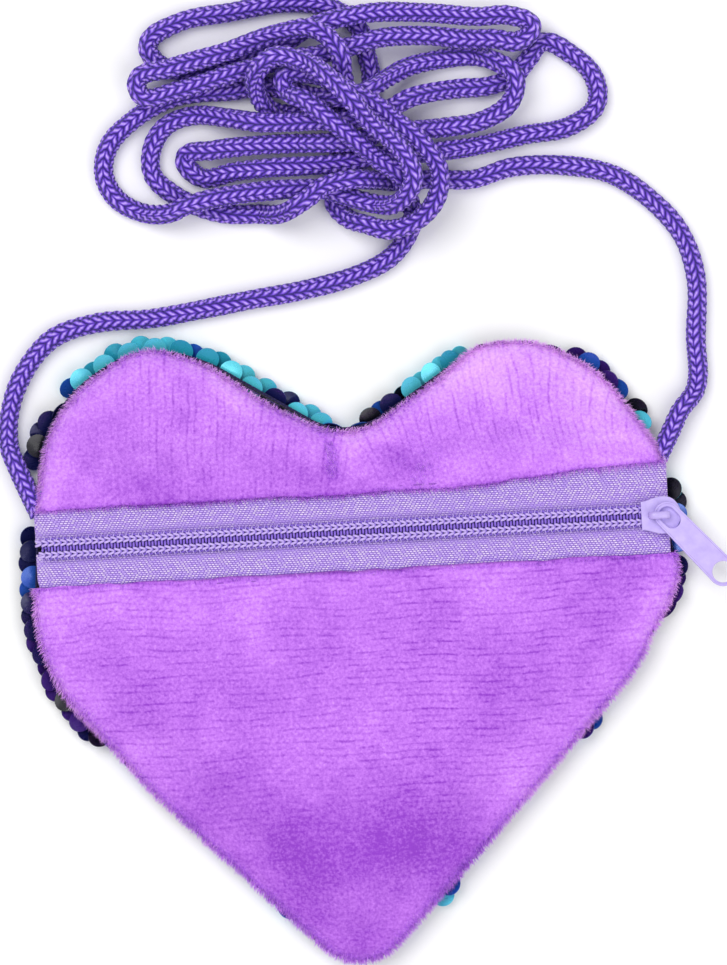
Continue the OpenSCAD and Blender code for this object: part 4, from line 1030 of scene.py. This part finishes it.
def plate(loops, low, high, bevel):
    """A flat plate with rounded edges from outlines, the first round it and the rest its holes."""
    curve = bpy.data.curves.new("outline", "CURVE")
    curve.dimensions, curve.fill_mode = "2D", "BOTH"
    curve.extrude = (high - low) / 2 * MM - bevel * MM
    curve.bevel_depth, curve.bevel_resolution = bevel * MM, 3
    curve.offset = -bevel * MM
    for loop in loops:
        sp = curve.splines.new("POLY")
        pts = to_frame(with_z(np.asarray(loop), 0))
        sp.points.add(len(pts) - 1)
        for q, p in zip(sp.points, pts):
            q.co = (p[0], p[1], 0, 1)
        sp.use_cyclic_u = True
    ob = link("outline", curve)
    bpy.context.view_layer.update()
    shaped = ob.evaluated_get(bpy.context.evaluated_depsgraph_get())
    me = bpy.data.meshes.new_from_object(shaped)
    bpy.data.objects.remove(ob)
    bpy.data.curves.remove(curve)
    for v in me.vertices:
        v.co.z += (low + high) / 2 * MM
    return me


def raw(verts, faces):
    me = bpy.data.meshes.new("raw")
    me.from_pydata(to_frame(verts).tolist(), [], [f for g in faces for f in g.tolist()])
    return me


def join(name, meshes, body, replaces):
    bm = bmesh.new()
    for me in meshes:
        bm.from_mesh(me)
        bpy.data.meshes.remove(me)
    me = bpy.data.meshes.new(name)
    bm.to_mesh(me)
    bm.free()
    me.materials.clear()
    me.materials.append(ENAMEL)
    me.polygons.foreach_set("use_smooth", np.ones(len(me.polygons), bool))
    me.set_sharp_from_angle(angle=math.radians(40))
    ob = link(name, me)
    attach(ob, body)
    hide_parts(replaces)


def two_ended(r1, r2, span, at, n=28):
    """The outline round two circles along the tab, the first one at a point."""
    a = math.degrees(math.acos((r1 - r2) / span))
    tab = heading(TAB_WAY)
    one = [at + r1 * unit(tab + a + (360 - 2 * a) * i / n) for i in range(n + 1)]
    two = [at + span * TAB_WAY + r2 * unit(tab - a + 2 * a * i / n) for i in range(n + 1)]
    return np.array(one + two)


def build_slider():
    side = np.array(SLIDER_SIDE) + [SLIDER_X, 0]
    curve = resample(side[1:], 0.35)
    for _ in range(3):
        curve[1:-1] = (curve[:-2] + curve[1:-1] * 2 + curve[2:]) / 4
    over = np.array([1, -1])
    outline = np.concatenate([side[:1], curve, curve[::-1] * over, side[:1] * over])
    pieces = [plate([outline], *TOP_PLATE, 0.2), plate([outline], *LOW_PLATE, 0.2)]
    pieces += [plate([np.array(RAIL) * [1, sgn]], *RAILS_Z, 0.08) for sgn in (-1, 1)]
    pieces.append(plate([resample(POST, 0.3, True)], *POST_Z, 0.15))
    # The bridge: a flat band that rises from the plate, crosses the tab's ring and goes down
    bend_z = BAR_Z - BAR_BEND
    half = [(0, BAR_FOOT_Z + (bend_z - BAR_FOOT_Z) * a) for a in np.linspace(0, 1, 7)[:-1]]
    half += [(BAR_BEND - BAR_BEND * math.cos(a), bend_z + BAR_BEND * math.sin(a))
             for a in np.linspace(0, math.pi / 2, 7)]
    path = np.array([(BAR_LEFT + x, 0, z) for x, z in half]
                    + [(BAR_RIGHT - x, 0, z) for x, z in half[::-1]])
    sides = 14
    v, q, c = tube(path[None], BAR_R, sides=sides, flat=0.72, up=(0.02, 0, 1))
    # Wider than thick, seen from above
    mid = np.repeat(path, sides, 0)
    pieces.append(raw(mid + (v - mid) * [1, 1.25, 1], [q, c]))
    join("slider", pieces, "zip_slider", "slider_body")


def build_tab():
    at = np.array([PIVOT_X + RING_X, 0])
    outer = two_ended(TAB_R, TAB_END_R, TAB_SPAN, at)
    # The hole round the bridge, and the round one at the free end
    hole = two_ended(RING_HOLE_R, RING_HOLE_R - 0.0001, RING_HOLE_SPAN, at)[::-1]
    eye = np.array([at + TAB_SPAN * TAB_WAY + EYE_R * unit(a)
                    for a in np.linspace(360, 0, 49)[:-1]])
    # A thin raised rim along the edge
    rim_out = two_ended(TAB_R - 0.02, TAB_END_R - 0.02, TAB_SPAN, at)
    rim_in = two_ended(TAB_R - 0.4, TAB_END_R - 0.48, TAB_SPAN, at)[::-1]
    join("tab", [plate([outer, hole, eye], TAB_LOW, TAB_LOW + TAB_T, 0.16),
                 plate([rim_out, rim_in], TAB_LOW + 0.1, TAB_LOW + 1.0, 0.12)],
         "zip_pull", "pull_tab")


build_slider()
build_tab()

# ---------------------------------------------------------------- the front: cloth and linings
BACKING_Z, BACKING_T, LINING_T = 0.8518, 0.5, 0.3
MIDDLE = np.array([0.0, -12.0])


def discs(outer, shares, z):
    """Flat rings at one height, each a share of the outer one."""
    return [with_z(MIDDLE + k * (outer - MIDDLE), z) for k in shares]


def rings_mesh(rings, low_z, top_z):
    """A closed surface through rings of points, with a point to close each end."""
    rings = np.array(rings)
    m, n = rings.shape[:2]
    verts = np.concatenate([rings.reshape(-1, 3), [(*MIDDLE, low_z)], [(*MIDDLE, top_z)]])
    k = np.arange(n)
    first = np.stack([np.full(n, m * n), (k + 1) % n, k], 1)
    last = np.stack([np.full(n, m * n + 1), (m - 1) * n + k, (m - 1) * n + (k + 1) % n], 1)
    return verts, [f[:, ::-1] for f in (grid_faces(m, n, wrap=True), first, last)]


def backing():
    """The cloth that the sequins are sewn on, with its rim turned up to the seam."""
    floor = COARSE - RIM_R * COARSE_WAY
    shares = (0.04, 0.2, 0.4, 0.6, 0.78, 0.9, 0.97)
    rings = discs(floor, shares, BACKING_Z)
    for r, angles in ((RIM_R, np.linspace(0, 90, 13)), (RIM_R - BACKING_T, np.linspace(90, 0, 13))):
        for a in angles:
            c, s = unit(a)
            rings.append(with_z(COARSE - (RIM_R - r * s) * COARSE_WAY, BACKING_Z + RIM_R - r * c))
    rings += discs(floor, shares[::-1], BACKING_Z + BACKING_T)
    verts, faces = rings_mesh(rings, BACKING_Z, BACKING_Z + BACKING_T)
    return make("backing", verts, faces, NAVY_CLOTH,
                replaces=("backing_cloth",), field="rim")


def flat_lining():
    outer = COARSE - (RIM_R + 0.3) * COARSE_WAY
    low = BACKING_Z + BACKING_T + 0.1
    shares = (0.04, 0.3, 0.6, 0.85, 1.0)
    rings = discs(outer, shares, low) + discs(outer, shares[::-1], low + LINING_T)
    verts, faces = rings_mesh(rings, low, low + LINING_T)
    return make("inner_front", verts, faces, LINING,
                replaces=("front_lining",), field="rim")


def back_lining(name, upper):
    """The lining under a panel, from the seam to the mouth."""
    y = (MOUTH + 0.1) * (1 if upper else -1)
    border = resample(half_border(1.2, y, upper), 1.2)
    rows = 24
    h = np.abs(border[:, 1])
    # Some rows reach to the tape's edge, and the rest go on to the mouth
    edge_t = np.maximum(0.5, np.where(h > TAPE_EDGE, (h - TAPE_EDGE) / (h - abs(y) + 1e-6), 0))
    t = np.concatenate([edge_t[None] * (np.arange(rows + 1) / rows)[:, None] ** 1.5,
                        edge_t[None] + (1 - edge_t[None]) * np.linspace(0.25, 1, 4)[:, None]])
    grid = border[None] * (1 - t[..., None]) + mouth_line(border, y)[None] * t[..., None]
    z = under(grid.reshape(-1, 2))[0] - 0.65
    verts, faces = shell(grid, z, z - LINING_T, 0.05, upper)
    return make(name, verts, [faces], LINING,
                replaces=(name.replace("inner", "lining"),), field="plush")


BACKING = backing()
INNER_FRONT = flat_lining()

# ---------------------------------------------------------------- the front: sequins
SEQUIN_D, SEQUIN_T, SEQUIN_HOLE, HOLE_Y = 5.0, 0.18, 0.7, 1.87
# The field hangs from its threads, a little higher than the three spots that the purse lies on
FIELD_Z, REST_Z, FIELD_TILT, SPOT_R = 0.411, 0.361, 6.0, 5.83
# The field's steps along and between its rows and its least depth, and the rim sequins' step
STEP_X, STEP_Y, FIELD_DEPTH, RIM_STEP = 5.3, 3.1, 4.93, 5.6
# The steps and half length of the stitches in the seam behind the rim, and their depth
SEAM_STEP, SEAM_HALF, SEAM_DEPTH = 4.8, 1.6, 0.95
SPOTS = [(-LOBE_X, LOBE_TOP - LOBE_R), (LOBE_X, LOBE_TOP - LOBE_R), (0, 2 * TIP_R - TIP_DROP)]
AQUA, TURQUOISE, BLUE = (0.12, 0.80, 0.94), (0.03, 0.46, 0.62), (0.02, 0.11, 0.55)
NAVY, BLACK, INDIGO = (0.008, 0.010, 0.09), (0.003, 0.003, 0.010), (0.05, 0.015, 0.20)
# Stretches of the rim as the photograph shows them: x from and to, y from and to, how far the
# sequins lean out, and the colours that occur
RIM_SHOWN = [
    (-62, -22, 32, 46, 0.8, (AQUA, TURQUOISE, AQUA, BLUE)),
    (-35, -3, 20, 41, 0.7, (AQUA, BLUE, AQUA, NAVY)),
    (13, 27, 29, 39, 0.7, (AQUA, AQUA, TURQUOISE, AQUA)),
    (3, 13, 22, 31, 0.6, (TURQUOISE, NAVY, BLUE, BLACK)),
    (48, 62, 27, 38, 0.6, (INDIGO, NAVY, INDIGO, BLUE)),
    (60, 67, 12, 27, 0.8, (BLACK, AQUA, NAVY, INDIGO)),
    (65, 80, -6, 11, 1.35, (AQUA, BLACK, BLUE, BLACK)),
    (65, 80, -20, -9, 0.7, (INDIGO, NAVY, INDIGO, NAVY)),
    (-80, -62, -11, 32, 1.0, (BLACK, NAVY, BLUE, NAVY)),
    (-80, -54, -42, -11, 0.8, (INDIGO, BLACK, NAVY, INDIGO)),
    (-53, -50, -50, -46, 0.8, (NAVY, INDIGO, BLUE, NAVY)),
    (-21, -15, -87, -80, 0.8, (BLUE, AQUA, BLUE, NAVY)),
    (16, 21, -81, -75, 0.8, (AQUA, TURQUOISE, BLUE, NAVY)),
    (49, 53, -45, -39, 0.8, (NAVY, BLUE, INDIGO, BLUE))]
RIM_HIDDEN = (0.0, (INDIGO, NAVY, BLUE, NAVY))


def from_cord(p, reach):
    """How far a point lies from the cord's sewn ends, taken up to that station."""
    gaps = []
    for a, b in ((LEFT_END[0], LEFT_END[reach]), (RIGHT_END[-1], RIGHT_END[-1 - reach])):
        a, d = np.array(a[:2]), np.subtract(b, a)[:2]
        t = np.clip((p - a) @ d / (d @ d), 0, 1)
        gaps.append(np.linalg.norm(p - a - t * d))
    return min(gaps)


def inside_edge(p):
    a, b = EDGE, np.roll(EDGE, -1, 0)
    cross_y = (a[:, 1] > p[1]) != (b[:, 1] > p[1])
    x = a[:, 0] + (p[1] - a[:, 1]) / np.where(b[:, 1] == a[:, 1], 1, b[:, 1] - a[:, 1]) \
        * (b[:, 0] - a[:, 0])
    return bool((cross_y & (x > p[0])).sum() % 2)


def spin(v, axis, degrees):
    c, s = (f(np.radians(degrees))[:, None, None] for f in (np.cos, np.sin))
    i, j = (axis + 1) % 3, (axis + 2) % 3
    out = v.copy()
    out[..., i] = v[..., i] * c - v[..., j] * s
    out[..., j] = v[..., i] * s + v[..., j] * c
    return out


def sequin_set(name, centres, turns, tilts, rolls, cup_h, over, below, replaces, ring, levels):
    """Cupped discs with a hole near the edge; each has a turn, a slope, and a colour each side."""
    n = len(centres)
    a = np.arange(ring) / ring * 2 * math.pi
    # From the hole's edge out to the disc's own
    t = np.linspace(0, 1, levels)[:, None]
    r = SEQUIN_HOLE / 2 * (1 - t) + SEQUIN_D / 2 * t
    x = r * np.sin(a)[None]
    y = HOLE_Y * (1 - t) + r * np.cos(a)[None]
    cup = smooth((np.sqrt(x * x + y * y) - 1.9) / 0.7).reshape(-1)
    one = np.stack([x, y, 0 * x], -1).reshape(-1, 3)
    q = np.repeat(one[None], 2 * n, 0).reshape(n, 2, -1, 3).copy()
    faces_z = np.array([SEQUIN_T / 2, -SEQUIN_T / 2])
    q[..., 2] = cup_h * cup + faces_z[:, None]
    # A small bend across each disc, no two alike
    q[..., 2] += 0.006 * rolls[:, None, None] * one[:, 0]
    for axis, degrees in ((1, rolls), (0, tilts), (2, turns)):
        q = spin(q, axis, degrees)
    q += np.asarray(centres)[:, None, None]
    per = levels * ring
    top = grid_faces(levels, ring, wrap=True)
    k = np.arange(ring)
    j = (k + 1) % ring
    low = top[:, ::-1] + per
    hole = np.stack([k, k + per, j + per, j], 1)
    o = (levels - 1) * ring
    rim = np.stack([o + k, o + j, o + j + per, o + k + per], 1)
    cell = np.concatenate([top[:, ::-1], low[:, ::-1], hole, rim])
    faces = (np.arange(n) * 2 * per)[:, None, None] + cell[None]
    tint = np.concatenate([np.repeat(c[:, None], per, 1) for c in (over, below)], 1)
    ob = make(name, q, [faces.reshape(-1, 4)], FILM, replaces=replaces,
              field="rim", attrs=(("tint", tint.reshape(-1, 3)),))
    ob.data.set_sharp_from_angle(angle=math.radians(35))


def field_sequins(r):
    """The field in its rows, with the thread through each hole; gives the places."""
    places = np.array([((i + j % 2 / 2) * STEP_X, j * STEP_Y) for j in range(-29, 14)
                       for i in range(-14, 15)])
    inside = np.array([inside_edge(p) for p in places])
    places = places[inside & (depth(places) > FIELD_DEPTH)]
    near = np.array([min(math.hypot(p[0] - s[0], p[1] - s[1]) for s in SPOTS) < SPOT_R
                     for p in places])
    n = len(places)
    hole = with_z(places + [0, HOLE_Y * math.cos(math.radians(FIELD_TILT))], 0)
    line = hole[:, None] + np.linspace(0.42, BACKING_Z - 0.01, 4)[None, :, None] * [0, 0, 1]
    threads("sequin_threads", line, 0.17, DARK_THREAD, replaces="sequin_stitches", field="rim",
            sides=8, up=(0, 1, 0.01))
    # Stroked one way in patches, so that either side shows
    x, y = places.T
    patch = smooth_noise(x, y, 16, 80) + 0.25 * r.normal(0, 1, n)
    hue = np.clip((smooth_noise(x, y, 9, 81) * 3).astype(int), 0, 2)
    bright = np.array([AQUA, TURQUOISE, BLUE])[hue]
    deep = np.array([NAVY, BLACK, INDIGO])[r.integers(0, 3, n)]
    flip = (patch > 0.62)[:, None]
    below = np.where(flip, deep, bright) * r.uniform(0.8, 1.15, (n, 1))
    sequin_set("field", with_z(places, np.where(near, REST_Z, FIELD_Z)), np.zeros(n),
               np.full(n, FIELD_TILT), np.zeros(n), 0.0, np.where(flip, bright, deep), below,
               ("field_sequins", "left_lobe_sequins", "right_lobe_sequins", "tip_sequins"), 24, 3)
    return places


def rim_rows(r):
    """The rim's two rows: they lean out where the photograph shows them, or else hug the edge.

    Each sequin is its x, y, z, turn, tilt, roll, and the colours of its two sides."""
    count = int(RING_AT[-1] / RIM_STEP)
    rows = []
    for row in (0, 1):
        s = (np.arange(count) + 0.5 + 0.5 * row) * RING_AT[-1] / count % RING_AT[-1]
        ways = to_one(at_lengths(s, RING_AT, RING_WAY))
        for p, w in zip(at_lengths(s, RING_AT, RING), ways):
            lean, colours = next(((out, some) for x0, x1, y0, y1, out, some in RIM_SHOWN
                                  if x0 <= p[0] <= x1 and y0 <= p[1] <= y1), RIM_HIDDEN)
            room = CORD_D / 2 + (1.5 if p[1] < 8 else SEQUIN_D / 2 + 0.3)
            if from_cord(p, 2) < room or row == 1 and lean == 0:
                continue
            # The rim's cloth turns up from flat to upright: each row sits on its part of that
            if lean == 0:
                up, slope, past = 55, 60 + r.normal(0, 2), 0
            elif row == 0:
                up, slope = 40, 40 - 20 * lean + r.normal(0, 5)
                past = 0.4 + 2.1 * lean + r.normal(0, 0.25)
            else:
                up, slope = 72, 34 - 14 * lean + r.normal(0, 6)
                past = -0.5 + 1.5 * lean + r.normal(0, 0.3) - ridge(p[0], -15, 9)
            far = RIM_R + 0.16
            reach = RIM_R - far * math.sin(math.radians(up)) - past
            z = BACKING_Z + RIM_R - far * math.cos(math.radians(up)) - (0.35 if row else -0.1)
            z = max(z, SEQUIN_D / 2 * math.sin(math.radians(slope)) + 0.15)
            turn = heading(w) + 90 + r.normal(0, 9 * lean + 2)
            rows.append((*(p - w * reach), z, turn, -slope, r.normal(0, 5 + 8 * lean),
                         colours[r.integers(0, 4)], colours[r.integers(0, 4)]))
    return rows


def filling_rows(r, places):
    """Sequins between the field and the rim, where a row of the field stops short."""
    s = np.arange(0, RING_AT[-1], 1.3)
    ways = to_one(at_lengths(s, RING_AT, RING_WAY))
    taken, rows = list(places), []
    for q, w in zip(at_lengths(s, RING_AT, RING) - 2.3 * ways, ways):
        if min(math.hypot(*(q - o)) for o in taken) > 4.35:
            taken.append(q)
            colour = (AQUA, TURQUOISE, BLUE, INDIGO)[r.integers(0, 4)]
            rows.append((*q, 1.12, heading(w) + 90, -23, 0.0, NAVY, colour))
    return rows


def sequins():
    r = np.random.default_rng(11)
    places = field_sequins(r)
    x, y, z, turns, tilts, rolls, over, below = (
        np.array(c) for c in zip(*rim_rows(r), *filling_rows(r, places)))
    sequin_set("rim", np.stack([x, y, z], 1), turns, tilts, rolls, 0.14, over, below,
               ("rim_sequins",), 22, 5)


def seam_stitches():
    """The seam inside the rim that closes the front and the back."""
    count = int(RING_AT[-1] / SEAM_STEP)
    lines = []
    for k in range(count):
        s = (k + 0.5) * RING_AT[-1] / count + np.linspace(-SEAM_HALF, SEAM_HALF, 6)
        p = at_lengths(s, RING_AT, RING) - SEAM_DEPTH * at_lengths(s, RING_AT, RING_WAY)
        if from_cord(p[2], 1) > 3.8:
            lines.append(with_z(p, SEAM_Z - 0.4))
    threads("rim_seam", lines, 0.2, DARK_THREAD, replaces="rim_seam_stitches", field="rim",
            sides=8)


sequins()
seam_stitches()
UPPER_INNER = back_lining("upper_inner", True)
LOWER_INNER = back_lining("lower_inner", False)

# The small pieces inside keep the CAD's shape
for node in ("upper_coil_cord", "lower_coil_cord", "left_zip_tacks", "right_zip_tacks"):
    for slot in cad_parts[node].material_slots:
        slot.material = CHAIN


# ---------------------------------------------------------------- the cloths' areas
def area_of(ob):
    """Half the surface of a thin closed cloth, in square metres."""
    me = ob.data
    a = np.empty(len(me.polygons))
    me.polygons.foreach_get("area", a)
    return float(a.sum()) / 2


def declare(ob, *pieces):
    """Works out a cloth's area and rounds it; the result is not kept."""
    round(area_of(ob), 6)


declare(UPPER, *UPPER_PILE)
declare(LOWER, *LOWER_PILE)
for cloth in [BACKING, INNER_FRONT, UPPER_INNER, LOWER_INNER] + TAPES:
    declare(cloth)
